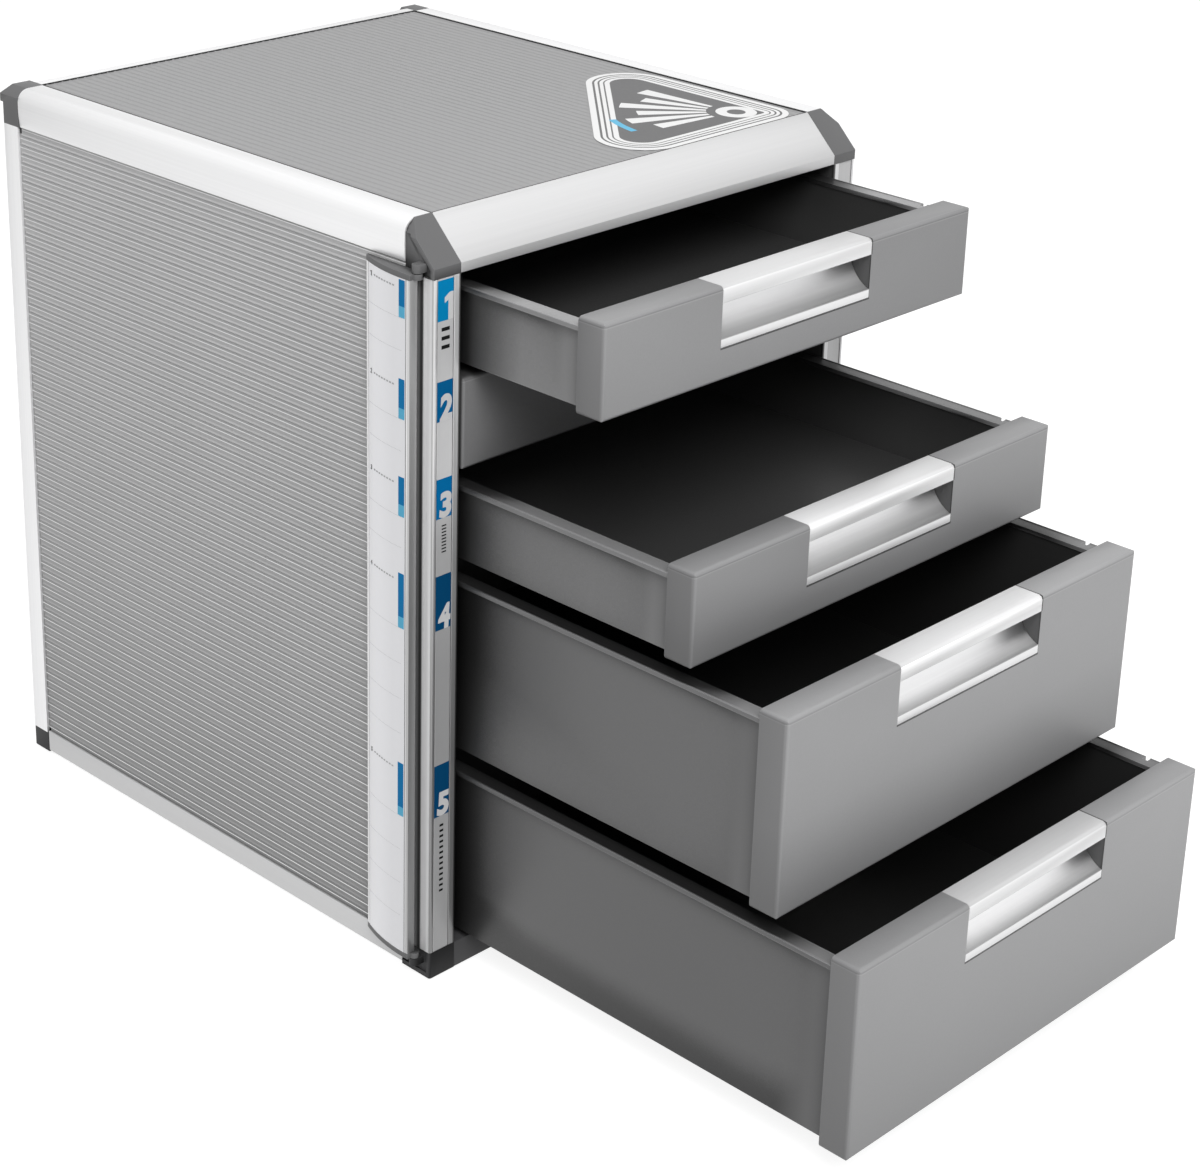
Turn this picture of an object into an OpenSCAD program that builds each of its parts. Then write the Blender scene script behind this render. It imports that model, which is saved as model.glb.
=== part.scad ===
// Desktop cabinet of five drawers: aluminium extrusions joined by moulded corner caps, ribbed panels,
// drawers that slide on side runners, and an index flap hinged on the front left corner.
// X runs to the right across the front, Y runs to the back and Z runs up.

/* [Drawer fronts] */
// Width of a drawer front
front_w = 268; // [240:1:300]
// Height of a shallow drawer front
shallow_front_h = 47; // [44:1:70]
// Height of a deep drawer front
deep_front_h = 100; // [70:1:140]
// Thickness of a drawer front
front_t = 16; // [14:0.5:20]
// Wall of a drawer front's shell
front_wall = 2.4; // [1.8:0.1:3]
// Radius of a drawer front's outline corners
front_corner_r = 2.2; // [1:0.1:3]
// Radius of a drawer front's face edges, which the bend of its handle follows
front_edge_r = 2.2; // [2:0.1:2.8]
// Number of bays between the stiffening ribs behind a drawer front
front_bays = 6; // [4:1:10]
// Thickness of the stiffening ribs behind a drawer front
front_rib_t = 1.6; // [1:0.1:2.4]
// Radius of the pegs that stake a front to its tray
peg_r = 2.5; // [2:0.1:3.5]
// Height of the gap between two fronts
front_gap = 3.4; // [2.6:0.1:6]
// Gap above the top front and below the bottom one
end_gap = 2; // [1:0.1:4]
// Gap at each side of the fronts
side_gap = 1.5; // [1:0.1:3]

/* [Handles] */
// Width of a handle
handle_w = 109; // [80:1:150]
// Height of a handle, from the top of the front to the lower end of its lip
handle_h = 30.2; // [27:0.1:33]
// Wall of the handle extrusion
handle_t = 1.6; // [1.2:0.1:1.8]
// Gap round a handle in its drawer front
handle_play = 0.15; // [0.1:0.01:0.3]
// Height of the strip that the fingers pull
handle_strip_h = 8.2; // [6:0.1:10]
// Radius of the scoop that takes the fingers
scoop_r = 20; // [18:0.5:23]
// Depth of the scoop behind the face of the front
scoop_depth = 13.2; // [11:0.1:14]
// Height of the lip below the scoop
handle_lip_h = 4.4; // [3:0.1:6]

/* [Trays] */
// Length of a tray behind its front
tray_l = 309; // [280:1:309]
// Wall and floor of a tray
tray_wall = 2; // [1.4:0.1:2.6]
// Wall and floor of a tray's liner
liner_wall = 1.8; // [1:0.1:2.4]
// Play of a liner in its tray
liner_play = 0.2; // [0.1:0.05:0.4]
// Width of the flange round a tray
flange_w = 8.5; // [8.2:0.1:12]
// Thickness of the flange
flange_t = 2.2; // [1.6:0.1:3]
// Inset of the flange from the side of the front
flange_inset = 0.5; // [0.3:0.1:0.8]
// Inset of the tray wall from the side of the front
tray_inset = 4.5; // [4.5:0.1:6]
// Drop from the top of a front to its flange
flange_drop = 5; // [3:0.1:8]
// Height of the tray floor above the lower edge of its front
floor_lift = 2; // [1:0.1:4]
// Radius of the bead along the flange's outer edge
bead_r = 0.7; // [0.4:0.1:0.8]
// Width of the notch in the right flange behind the front
notch_w = 3; // [2:0.5:6]
// Distance of the notch behind the front
notch_y = 10; // [6:0.5:20]
// Height of the stop tab at the back of the flange
stop_h = 4; // [3:0.1:5]
// Length of the stop tab
stop_l = 4; // [3:0.5:6]

/* [Drawer positions] */
// How far drawer 1 is pulled out
drawer_1_open = 90; // [0:1:250]
// How far drawer 2 is pulled out
drawer_2_open = 0; // [0:1:250]
// How far drawer 3 is pulled out
drawer_3_open = 149; // [0:1:250]
// How far drawer 4 is pulled out
drawer_4_open = 206; // [0:1:250]
// How far drawer 5 is pulled out
drawer_5_open = 254; // [0:1:265]

/* [Runners] */
// Thickness of a runner plate
runner_t = 2.2; // [1.6:0.1:2.6]
// Thickness of a runner ledge
ledge_t = 3; // [2:0.1:4]
// Thickness of the rib that keeps a pulled-out drawer from tipping
tip_rib_t = 2; // [1.4:0.1:2.6]
// Length of the rib that keeps a pulled-out drawer from tipping
tip_rib_l = 34; // [20:1:34]
// Running gap between a drawer and its runner
run_gap = 0.3; // [0.3:0.05:0.4]

/* [Frame] */
// Depth of the cabinet from the face of the posts to their back
cabinet_d = 340; // [340:1:380]
// Width of a post
post_w = 17; // [17:0.5:20]
// Radius of a front post's outer corner
post_corner_r = 1.2; // [0.6:0.1:1.4]
// Depth of a front post
front_post_d = 20.5; // [20.5:0.5:24]
// Depth of a back post
back_post_d = 12.3; // [12:0.1:16]
// Wall of the frame's extrusions
rail_wall = 1.6; // [1.2:0.1:1.8]
// Height of the top rail at the front
top_front_h = 24.5; // [24:0.1:28]
// Height of the lip below the top rail's slope
lip_h = 5.1; // [4:0.1:8]
// Depth of the top rail's slope
slope_d = 20; // [18:0.1:20]
// Height of the top rails at the sides and back
top_side_h = 20.7; // [19:0.1:22]
// Width of the top and bottom rails at the sides
side_rail_w = 16.5; // [15.5:0.1:16.8]
// Depth of the rails at the back
back_rail_d = 12; // [11.5:0.1:12]
// Radius of the top rails' outer edge
top_edge_r = 7; // [4:0.1:8]
// Height over which the top rails' outer face draws in towards its lower edge
rail_draw_h = 9; // [6:0.5:10]
// How far the top rails' outer face draws in
rail_draw = 0.7; // [0.3:0.1:0.8]
// Height of the bottom rail at the front
bottom_front_h = 14.6; // [14:0.1:18]
// Height of the bottom rails at the sides
bottom_side_h = 12.5; // [12.4:0.1:13]
// Height of the bottom rail at the back
bottom_back_h = 11.1; // [10.8:0.1:12]
// Height of the bottom rails above the underside of the caps
bottom_rail_lift = 1.2; // [0.5:0.1:1.4]
// Width of the ledge that carries the top panel
panel_ledge_w = 5; // [4:0.5:8]
// Thickness of the ledge that carries the top panel
panel_ledge_t = 1.5; // [1:0.1:2]

/* [Corner caps] */
// Depth of a back cap
back_cap_d = 13.5; // [13:0.1:16]
// Width of the chamfer on a top front cap
cap_chamfer_w = 6; // [3:0.1:7]
// Height of the chamfer on a top front cap
cap_chamfer_h = 7.5; // [4:0.1:9]
// How far the lip of a top back cap stands behind the posts
back_lip = 2.5; // [1:0.1:4]
// Height of that lip
back_lip_h = 9; // [7:0.1:10]
// Width of the chamfer on a top back cap
back_chamfer_w = 6; // [3:0.1:7]
// Depth of the chamfer on a top back cap
back_chamfer_d = 3.5; // [2:0.1:4]
// Height of the chamfer on a top back cap
back_chamfer_h = 4.6; // [3:0.1:6]
// Depth of the recess in the side of a cap
cap_recess = 1; // [0.4:0.1:1.2]
// Width of the band left proud round that recess
cap_band_w = 2.6; // [1.5:0.1:4]
// Length of the tenons that plug into the extrusions
tenon_l = 12; // [8:0.5:16]
// Play of a tenon in its extrusion
tenon_play = 0.15; // [0.1:0.01:0.2]

/* [Panels] */
// Thickness of a panel's sheet
sheet_t = 2; // [1.6:0.1:2.4]
// Pitch of the panels' ribs
rib_pitch = 5; // [4:0.25:8]
// Width of a rib at its foot
rib_w = 1.5; // [1:0.1:2.4]
// Width of a rib's crest
rib_crest_w = 0.4; // [0.2:0.1:0.8]
// Height of the side panels' ribs
side_rib_h = 0.6; // [0.3:0.1:1]
// Height of the top panel's ribs
top_rib_h = 0.3; // [0.2:0.1:0.4]
// Depth of the side panels' face below the posts' face
side_recess = 1; // [0.6:0.1:1.6]
// Depth of the top panel's face below the rails
top_recess = 0.4; // [0.2:0.1:0.8]
// Depth of the slots that hold the panels
slot_depth = 3; // [2:0.1:3.2]
// Play of a sheet in its slot
slot_play = 0.15; // [0.1:0.01:0.2]
// Gap between a sheet's open edges and the posts and rails
edge_gap = 0.3; // [0.2:0.05:0.5]
// Gap round the top panel
top_panel_gap = 0.8; // [0.4:0.1:1.5]
// Height of the bottom panel above the underside of the caps
bottom_panel_z = 5.8; // [5.4:0.1:6]
// Distance of the back panel's inner face behind the front of the back rails
back_panel_y = 7.5; // [7.2:0.1:8]

/* [Index flap] */
// Distance of the hinge axis from the side of the cabinet
hinge_x = 3.2; // [3:0.1:4]
// Distance of the hinge axis behind the face of the posts
hinge_y = 8; // [7:0.5:10]
// Chord of the flap's section
flap_w = 37; // [30:0.5:44]
// Greatest reach of the flap from the side of the cabinet
flap_reach = 8; // [7.6:0.1:9]
// Reach of the flap's free edge from the side of the cabinet
flap_edge_reach = 1.6; // [1.4:0.1:3]
// Distance from the hinge axis to the crown of the flap's curve
flap_crown = 4; // [2:0.5:8]
// Wall of the flap extrusion
flap_wall = 1.2; // [1:0.1:1.4]
// Gap between the flap and the side of the cabinet
flap_gap = 0.5; // [0.4:0.1:0.8]
// Thickness of the flap's end caps
flap_cap_h = 2.8; // [2:0.1:4]
// Length of the plugs of the flap's end caps
flap_plug_l = 6; // [4:0.5:10]
// Height of the flap's lower end above the underside of the corner caps
flap_z = 11.4; // [10:0.1:13]
// Distance of the flap's upper end above the lower edge of the top caps
flap_rise = 2.3; // [1:0.1:4]
// Radius of the hinge pins
pin_r = 1.25; // [1:0.05:1.5]
// Radius of the hinge lugs and bosses
lug_r = 2.6; // [2.5:0.05:2.65]
// Thickness of the hinge lugs
lug_h = 4; // [3:0.1:5]
// Running gap between a lug and the flap's end
lug_gap = 0.4; // [0.3:0.05:0.6]
// Radial play of a pin in its lug
pin_play = 0.05; // [0.03:0.01:0.1]
// Thickness of the index card
card_t = 0.4; // [0.2:0.05:0.6]
// Distance from the flap's edges to the card
card_margin = 2.4; // [1.5:0.1:4]
// Play of the index card in its recess
card_play = 0.1; // [0.05:0.01:0.15]

/* [Trim] */
// Width of the number strip on the left post
strip_w = 10.2; // [8:0.1:12]
// Thickness of the number strip
strip_t = 0.5; // [0.3:0.05:0.7]
// Depth of the groove for the number strip
strip_groove = 0.6; // [0.5:0.05:0.8]
// Distance from the post's outer face to the number strip
strip_edge = 2.4; // [2:0.1:4]
// Thickness of a foot pad
foot_t = 1.6; // [1:0.1:3]
// Radius of a foot pad
foot_r = 5; // [3:0.1:6]
// Leg of the label along the front
label_leg_x = 154; // [120:1:160]
// Leg of the label along the side
label_leg_y = 161; // [120:1:180]
// Radius of the label's square corner
label_r = 15; // [8:1:20]
// Radius of the label's two sharp corners
label_tip_r = 24; // [15:1:30]
// Distance of the label from the side of the top panel
label_margin_x = 4; // [2:0.5:10]
// Distance of the label from the front of the top panel
label_margin_y = 0.6; // [0.4:0.1:5]
// Thickness of the label
label_t = 0.2; // [0.1:0.05:0.3]
// Radius of a frame screw's thread
screw_r = 1.5; // [1:0.1:1.5]
// Radius of a frame screw's countersunk head
screw_head_r = 2.8; // [2.4:0.1:2.8]
// Length of a frame screw
screw_l = 7; // [6:0.5:8]
// Radial play of a frame screw
screw_play = 0.05; // [0.03:0.01:0.1]
// Width and depth of the slot in a frame screw's head
screw_slot_w = 0.8; // [0.6:0.1:1]

/* [Hidden] */
$fn = 64;
// Overlap that joins the shapes of one solid
join = 0.5;
// Overrun of a cut past the face it opens
over = 1;

drawer_count = 5;
front_heights = [shallow_front_h, shallow_front_h, shallow_front_h, deep_front_h, deep_front_h];
drawer_open = [drawer_1_open, drawer_2_open, drawer_3_open, drawer_4_open, drawer_5_open];

function total(values, count) = count == 0 ? 0 : values[count - 1] + total(values, count - 1);

// Heights of the frame
base_z = foot_t;
opening_h = total(front_heights, drawer_count) + (drawer_count - 1) * front_gap + 2 * end_gap;
opening_low = base_z + bottom_front_h;
opening_high = opening_low + opening_h;
top_z = opening_high + top_front_h;
rail_low = base_z + bottom_rail_lift;
side_low = rail_low + bottom_side_h;
side_high = top_z - top_side_h;
back_low = rail_low + bottom_back_h;

// Distances from the middle of the cabinet, and depths behind the face of the posts
opening_x = front_w / 2 + side_gap;
outer_x = opening_x + post_w;
side_rail_x = outer_x - side_rail_w;
back_post_y = cabinet_d - back_post_d;
back_cap_y = cabinet_d - back_cap_d;
back_rail_y = cabinet_d - back_rail_d;

// The origin lies under the middle of the box round the cabinet with its drawers as they stand
origin_x = flap_reach / 2;
origin_y = (max(drawer_open) - cabinet_d - back_lip) / 2;

function front_top(i) = opening_high - end_gap - total(front_heights, i) - i * front_gap;
function flange_top(i) = front_top(i) - flange_drop;
function flange_low(i) = flange_top(i) - flange_t;
function tray_low(i) = front_top(i) - front_heights[i] + floor_lift;

tray_x = front_w / 2 - tray_inset;
flange_x = front_w / 2 - flange_inset;
flange_inner_x = flange_x - flange_w;

// Sheets of the side panels, with the runner plates against them
side_sheet_outer = outer_x - side_recess - side_rib_h;
side_sheet_inner = side_sheet_outer - sheet_t;
runner_outer = side_sheet_inner - slot_play;
runner_inner = runner_outer - runner_t;
side_slot_inner = runner_inner - slot_play;
side_slot_outer = side_sheet_outer + slot_play;
top_ledge_z = top_z - top_recess - top_rib_h - sheet_t;
bottom_sheet_z = base_z + bottom_panel_z;
back_sheet_y = back_rail_y + back_panel_y;
sheet_bite = slot_depth - slot_play;

// ---------------------------------------------------------------- placing

module in_cabinet() {
    translate([origin_x, origin_y, 0])
        children();
}

// The left half is the mirror image of the right half
module on_left() {
    mirror([1, 0, 0])
        children();
}

// A section drawn in Y and Z, run along X from one value to another
module along_x(from, to) {
    translate([from, 0, 0])
        rotate([90, 0, 90])
            linear_extrude(to - from)
                children();
}

// A section drawn in X and Z, run along Y
module along_y(from, to) {
    translate([0, to, 0])
        rotate([90, 0, 0])
            linear_extrude(to - from)
                children();
}

// A section drawn in X and Y, run along Z
module along_z(from, to) {
    translate([0, 0, from])
        linear_extrude(to - from)
            children();
}

module box_between(low, high) {
    translate(low)
        cube(high - low);
}

module rect_between(low, high) {
    translate(low)
        square(high - low);
}

// A rectangle with all four corners rounded
module round_rect(low, high, r) {
    rect_between([low[0] + r, low[1]], [high[0] - r, high[1]]);
    rect_between([low[0], low[1] + r], [high[0], high[1] - r]);
    for (x = [low[0] + r, high[0] - r])
        for (y = [low[1] + r, high[1] - r])
            translate([x, y])
                circle(r);
}

// A rectangle whose corner at its highest X and Y is rounded
module one_round_rect(low, high, r) {
    rect_between(low, [high[0] - r, high[1]]);
    rect_between(low, [high[0], high[1] - r]);
    translate(high - [r, r])
        circle(r);
}

// ---------------------------------------------------------------- sections of the extrusions

// The top front rail in Y and Z, with its lower front edge at the origin
function slope_line(y, inset) =
    let (rise = (top_front_h - lip_h) / slope_d)
        lip_h + rise * y - inset * sqrt(1 + rise * rise);

function top_front_inner(inset) = [
    [inset, inset],
    [inset, slope_line(inset, inset)],
    [slope_d - inset, slope_line(slope_d - inset, inset)],
    [slope_d - inset, inset]
];

module top_front_section() {
    ledge_z = top_ledge_z - opening_high;
    difference() {
        polygon([
            [0, 0],
            [0, lip_h],
            [slope_d, top_front_h],
            [slope_d, ledge_z],
            [slope_d + panel_ledge_w, ledge_z],
            [slope_d + panel_ledge_w, ledge_z - panel_ledge_t],
            [slope_d, ledge_z - panel_ledge_t],
            [slope_d, 0]
        ]);
        polygon(top_front_inner(rail_wall));
    }
}

// The hollow of a top rail at a side or the back, above the slot in its underside
module top_rail_hollow(inner, outer, inset) {
    one_round_rect([inner + inset, side_high + slot_depth + inset],
        [outer - inset, top_z - inset], top_edge_r - inset);
}

// What the outer face of a top rail loses below its draw line, tangent to the face there
module rail_draw_section(outer) {
    draw_r = (pow(rail_draw_h, 2) + pow(rail_draw, 2)) / (2 * rail_draw);
    difference() {
        rect_between([outer - 2 * rail_draw, side_high - over], [outer + over, side_high + rail_draw_h]);
        translate([outer - draw_r, side_high + rail_draw_h])
            circle(draw_r, $fn = 256);
    }
}

module top_rail_section(inner, outer, slot_low, slot_high) {
    difference() {
        one_round_rect([inner, side_high], [outer, top_z], top_edge_r);
        rail_draw_section(outer);
        top_rail_hollow(inner, outer, rail_wall);
        rect_between([slot_low, side_high - over], [slot_high, side_high + slot_depth]);
    }
}

module panel_ledge_section(inner) {
    rect_between([inner - panel_ledge_w, top_ledge_z - panel_ledge_t], [inner + join, top_ledge_z]);
}

module bottom_side_hollow(inset) {
    rect_between([side_rail_x + slot_depth + inset, rail_low + inset],
        [outer_x - inset, side_low - slot_depth - inset]);
}

module bottom_back_hollow(inset) {
    rect_between([back_rail_y + slot_depth + inset, rail_low + inset],
        [cabinet_d - inset, back_low - slot_depth - inset]);
}

module bottom_front_hollow(inset) {
    rect_between([inset, base_z + inset], [front_post_d - slot_depth - inset, opening_low - inset]);
}

// A front post's outline, whose outer front corner is rounded
module front_corner_section() {
    mirror([0, 1])
        one_round_rect([opening_x, -front_post_d], [outer_x, 0], post_corner_r);
}

module front_post_hollow(inset) {
    rect_between([opening_x + inset, strip_groove + inset],
        [outer_x - inset, front_post_d - slot_depth - inset]);
}

module back_post_hollow(inset) {
    rect_between([opening_x + slot_depth + inset, back_post_y + slot_depth + inset],
        [outer_x - inset, cabinet_d - inset]);
}

// ---------------------------------------------------------------- frame

module front_post() {
    along_z(opening_low, opening_high)
        difference() {
            front_corner_section();
            front_post_hollow(rail_wall);
            rect_between([side_slot_inner, front_post_d - slot_depth],
                [side_slot_outer, front_post_d + over]);
            rect_between([outer_x - strip_edge - strip_w - tenon_play, -over],
                [outer_x - strip_edge + tenon_play, strip_groove]);
        }
}

module front_left_post() {
    in_cabinet() color("gainsboro") on_left() front_post();
}

module front_right_post() {
    in_cabinet() color("gainsboro") front_post();
}

module back_post() {
    difference() {
        along_z(back_low, side_high)
            difference() {
                rect_between([opening_x, back_post_y], [outer_x, cabinet_d]);
                back_post_hollow(rail_wall);
                rect_between([side_slot_inner, back_post_y - over],
                    [side_slot_outer, back_post_y + slot_depth]);
                rect_between([opening_x - over, back_sheet_y - slot_play],
                    [opening_x + slot_depth, back_sheet_y + sheet_t + slot_play]);
            }
        frame_screw_cuts();
    }
}

module back_left_post() {
    in_cabinet() color("gainsboro") on_left() back_post();
}

module back_right_post() {
    in_cabinet() color("gainsboro") back_post();
}

module top_front_rail() {
    in_cabinet()
        color("whitesmoke")
            along_x(-opening_x, opening_x)
                translate([0, opening_high])
                    top_front_section();
}

module top_side_rail() {
    ledge_start = slope_d + panel_ledge_w + edge_gap;
    ledge_end = back_rail_y - panel_ledge_w - edge_gap;
    along_y(front_post_d, back_cap_y)
        top_rail_section(side_rail_x, outer_x, side_sheet_inner - slot_play, side_slot_outer);
    along_y(ledge_start, ledge_end)
        panel_ledge_section(side_rail_x);
}

module top_left_rail() {
    in_cabinet() color("whitesmoke") on_left() top_side_rail();
}

module top_right_rail() {
    in_cabinet() color("whitesmoke") top_side_rail();
}

module top_back_rail() {
    in_cabinet()
        color("whitesmoke")
            difference() {
                along_x(-opening_x, opening_x) {
                    top_rail_section(back_rail_y, cabinet_d, back_sheet_y - slot_play,
                        back_sheet_y + sheet_t + slot_play);
                    panel_ledge_section(back_rail_y);
                }
                frame_screw_cuts();
                on_left() frame_screw_cuts();
            }
}

module bottom_front_rail() {
    in_cabinet()
        color("dimgray")
            along_x(-opening_x, opening_x)
                difference() {
                    rect_between([0, base_z], [front_post_d, opening_low]);
                    bottom_front_hollow(rail_wall);
                    rect_between([front_post_d - slot_depth, bottom_sheet_z - slot_play],
                        [front_post_d + over, bottom_sheet_z + sheet_t + slot_play]);
                }
}

module bottom_side_rail() {
    along_y(front_post_d, back_cap_y)
        difference() {
            rect_between([side_rail_x, rail_low], [outer_x, side_low]);
            bottom_side_hollow(rail_wall);
            rect_between([side_rail_x - over, bottom_sheet_z - slot_play],
                [side_rail_x + slot_depth, bottom_sheet_z + sheet_t + slot_play]);
            rect_between([side_sheet_inner - slot_play, side_low - slot_depth],
                [side_slot_outer, side_low + over]);
        }
}

module bottom_left_rail() {
    in_cabinet() color("dimgray") on_left() bottom_side_rail();
}

module bottom_right_rail() {
    in_cabinet() color("dimgray") bottom_side_rail();
}

module bottom_back_rail() {
    in_cabinet()
        color("dimgray")
            difference() {
                along_x(-opening_x, opening_x)
                    difference() {
                        rect_between([back_rail_y, rail_low], [cabinet_d, back_low]);
                        bottom_back_hollow(rail_wall);
                        rect_between([back_rail_y - over, bottom_sheet_z - slot_play],
                            [back_rail_y + slot_depth, bottom_sheet_z + sheet_t + slot_play]);
                        rect_between([back_sheet_y - slot_play, back_low - slot_depth],
                            [back_sheet_y + sheet_t + slot_play, back_low + over]);
                    }
                frame_screw_cuts();
                on_left() frame_screw_cuts();
            }
}

// ---------------------------------------------------------------- corner caps

// The side face of a top front cap is sunk behind a band that follows the slope
module top_cap_recess() {
    along_x(outer_x - cap_recess, outer_x + over)
        polygon([
            [cap_band_w, opening_high - over],
            [cap_band_w, opening_high + slope_line(cap_band_w, cap_band_w)],
            [slope_d, opening_high + slope_line(slope_d, cap_band_w)],
            [front_post_d + over, opening_high + slope_line(slope_d, cap_band_w)],
            [front_post_d + over, opening_high - over]
        ]);
}

module cap_top_front() {
    difference() {
        intersection() {
            along_x(opening_x, outer_x)
                polygon([
                    [0, opening_high],
                    [0, opening_high + lip_h],
                    [slope_d, top_z],
                    [front_post_d, top_z],
                    [front_post_d, opening_high]
                ]);
            along_y(-over, front_post_d + over)
                polygon([
                    [opening_x, opening_high],
                    [opening_x, top_z],
                    [outer_x - cap_chamfer_w, top_z],
                    [outer_x, top_z - cap_chamfer_h],
                    [outer_x, opening_high]
                ]);
        }
        top_cap_recess();
    }
    along_x(opening_x - tenon_l, opening_x + join)
        translate([0, opening_high])
            polygon(top_front_inner(rail_wall + tenon_play));
    along_z(opening_high - tenon_l, opening_high + join)
        front_post_hollow(rail_wall + tenon_play);
    along_y(front_post_d - join, front_post_d + tenon_l)
        top_rail_hollow(side_rail_x, outer_x, rail_wall + tenon_play);
}

module cap_top_front_left() {
    in_cabinet()
        color("dimgray")
            on_left()
                difference() {
                    union() {
                        cap_top_front();
                        hinge_lug(flap_high + lug_gap);
                    }
                    hinge_bore(flap_high + lug_gap);
                }
}

module cap_top_front_right() {
    in_cabinet() color("dimgray") cap_top_front();
}

// A top back cap is chamfered at the side and the back, and its lip hangs over the post behind it
module cap_top_back() {
    lip_y = cabinet_d + back_lip;
    difference() {
        union() {
            intersection() {
                along_y(back_cap_y, lip_y)
                    polygon([
                        [opening_x, side_high],
                        [opening_x, top_z],
                        [outer_x - back_chamfer_w, top_z],
                        [outer_x, top_z - back_chamfer_h],
                        [outer_x, side_high]
                    ]);
                along_x(opening_x - over, outer_x + over)
                    polygon([
                        [back_cap_y, side_high],
                        [back_cap_y, top_z],
                        [lip_y - back_chamfer_d, top_z],
                        [lip_y, top_z - back_chamfer_h],
                        [lip_y, top_z - back_lip_h],
                        [cabinet_d, top_z - back_lip_h],
                        [cabinet_d, side_high]
                    ]);
            }
            along_y(back_cap_y - tenon_l, back_cap_y + join)
                top_rail_hollow(side_rail_x, outer_x, rail_wall + tenon_play);
            along_x(opening_x - tenon_l, opening_x + join)
                top_rail_hollow(back_rail_y, cabinet_d, rail_wall + tenon_play);
            along_z(side_high - tenon_l, side_high + join)
                back_post_hollow(rail_wall + tenon_play);
        }
        frame_screw_cuts();
    }
}

module cap_top_back_left() {
    in_cabinet() color("dimgray") on_left() cap_top_back();
}

module cap_top_back_right() {
    in_cabinet() color("dimgray") cap_top_back();
}

module cap_bottom_front() {
    along_z(base_z, opening_low)
        front_corner_section();
    along_x(opening_x - tenon_l, opening_x + join)
        bottom_front_hollow(rail_wall + tenon_play);
    along_z(opening_low - join, opening_low + tenon_l)
        front_post_hollow(rail_wall + tenon_play);
    along_y(front_post_d - join, front_post_d + tenon_l)
        bottom_side_hollow(rail_wall + tenon_play);
}

// The sunk side face of a bottom front cap is open towards the post and the side rail
module bottom_cap_recess() {
    box_between([outer_x - cap_recess, cap_band_w, base_z + cap_band_w],
        [outer_x + over, front_post_d + over, opening_low + over]);
}

module cap_bottom_front_left() {
    in_cabinet()
        color("dimgray")
            on_left()
                difference() {
                    union() {
                        difference() {
                            cap_bottom_front();
                            bottom_cap_recess();
                        }
                        hinge_lug(flap_low - lug_gap - lug_h);
                    }
                    hinge_bore(flap_low - lug_gap - lug_h);
                }
}

module cap_bottom_front_right() {
    in_cabinet()
        color("dimgray")
            difference() {
                cap_bottom_front();
                bottom_cap_recess();
            }
}

module cap_bottom_back() {
    difference() {
        union() {
            box_between([opening_x, back_cap_y, base_z], [outer_x, cabinet_d, back_low]);
            along_y(back_cap_y - tenon_l, back_cap_y + join)
                bottom_side_hollow(rail_wall + tenon_play);
            along_x(opening_x - tenon_l, opening_x + join)
                bottom_back_hollow(rail_wall + tenon_play);
            along_z(back_low - join, back_low + tenon_l)
                back_post_hollow(rail_wall + tenon_play);
        }
        frame_screw_cuts();
    }
}

module cap_bottom_back_left() {
    in_cabinet() color("dimgray") on_left() cap_bottom_back();
}

module cap_bottom_back_right() {
    in_cabinet() color("dimgray") cap_bottom_back();
}

// ---------------------------------------------------------------- frame screws

// Where the screws enter the back of the right half, in X and Z
post_screw_x = (opening_x + slot_depth + outer_x) / 2;
screw_spots = [
    [post_screw_x, back_low + tenon_l / 2],
    [post_screw_x, side_high - tenon_l / 2],
    [opening_x - tenon_l / 2, (rail_low + back_low - slot_depth) / 2],
    [opening_x - tenon_l / 2, (side_high + slot_depth + top_z) / 2]
];
screw_head_h = screw_head_r - screw_r;

module at_screw_spots() {
    for (spot = screw_spots)
        translate([spot[0], cabinet_d, spot[1]])
            rotate([90, 0, 0])
                children();
}

module frame_screw_cuts() {
    at_screw_spots() {
        translate([0, 0, -over])
            cylinder(h = screw_l + 2 * over, r = screw_r + screw_play);
        cylinder(h = screw_head_h, r1 = screw_head_r + screw_play, r2 = screw_r + screw_play);
    }
}

module screws_of_one_half() {
    at_screw_spots()
        difference() {
            union() {
                cylinder(h = screw_l, r = screw_r);
                cylinder(h = screw_head_h, r1 = screw_head_r, r2 = screw_r);
            }
            translate([-screw_head_r - over, -screw_slot_w / 2, -over])
                cube([2 * (screw_head_r + over), screw_slot_w, over + screw_slot_w]);
        }
}

module frame_screws() {
    in_cabinet()
        color("silver") {
            screws_of_one_half();
            on_left() screws_of_one_half();
        }
}

// ---------------------------------------------------------------- panels

// The ribs on the face of a sheet: narrow ridges one pitch apart
module rib_row(from, to, low, rib_h) {
    count = floor((to - from) / rib_pitch);
    start = (from + to - (count - 1) * rib_pitch) / 2;
    for (i = [0:count - 1])
        translate([start + i * rib_pitch, low])
            polygon([
                [-rib_w / 2, -join],
                [-rib_w / 2, 0],
                [-rib_crest_w / 2, rib_h],
                [rib_crest_w / 2, rib_h],
                [rib_w / 2, 0],
                [rib_w / 2, -join]
            ]);
}

module side_panel() {
    along_x(side_sheet_inner, side_sheet_outer) {
        rect_between([front_post_d - sheet_bite, opening_low + slot_play],
            [back_post_y + sheet_bite, opening_high - slot_play]);
        rect_between([front_post_d + edge_gap, side_low - sheet_bite],
            [back_cap_y - edge_gap, side_high + sheet_bite]);
    }
    along_y(front_post_d + edge_gap, back_cap_y - edge_gap)
        rotate(-90)
            mirror([1, 0])
                rib_row(side_low + edge_gap, side_high - edge_gap, side_sheet_outer, side_rib_h);
}

module left_side_panel() {
    in_cabinet() color("gray") on_left() side_panel();
}

module right_side_panel() {
    in_cabinet() color("gray") side_panel();
}

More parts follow.
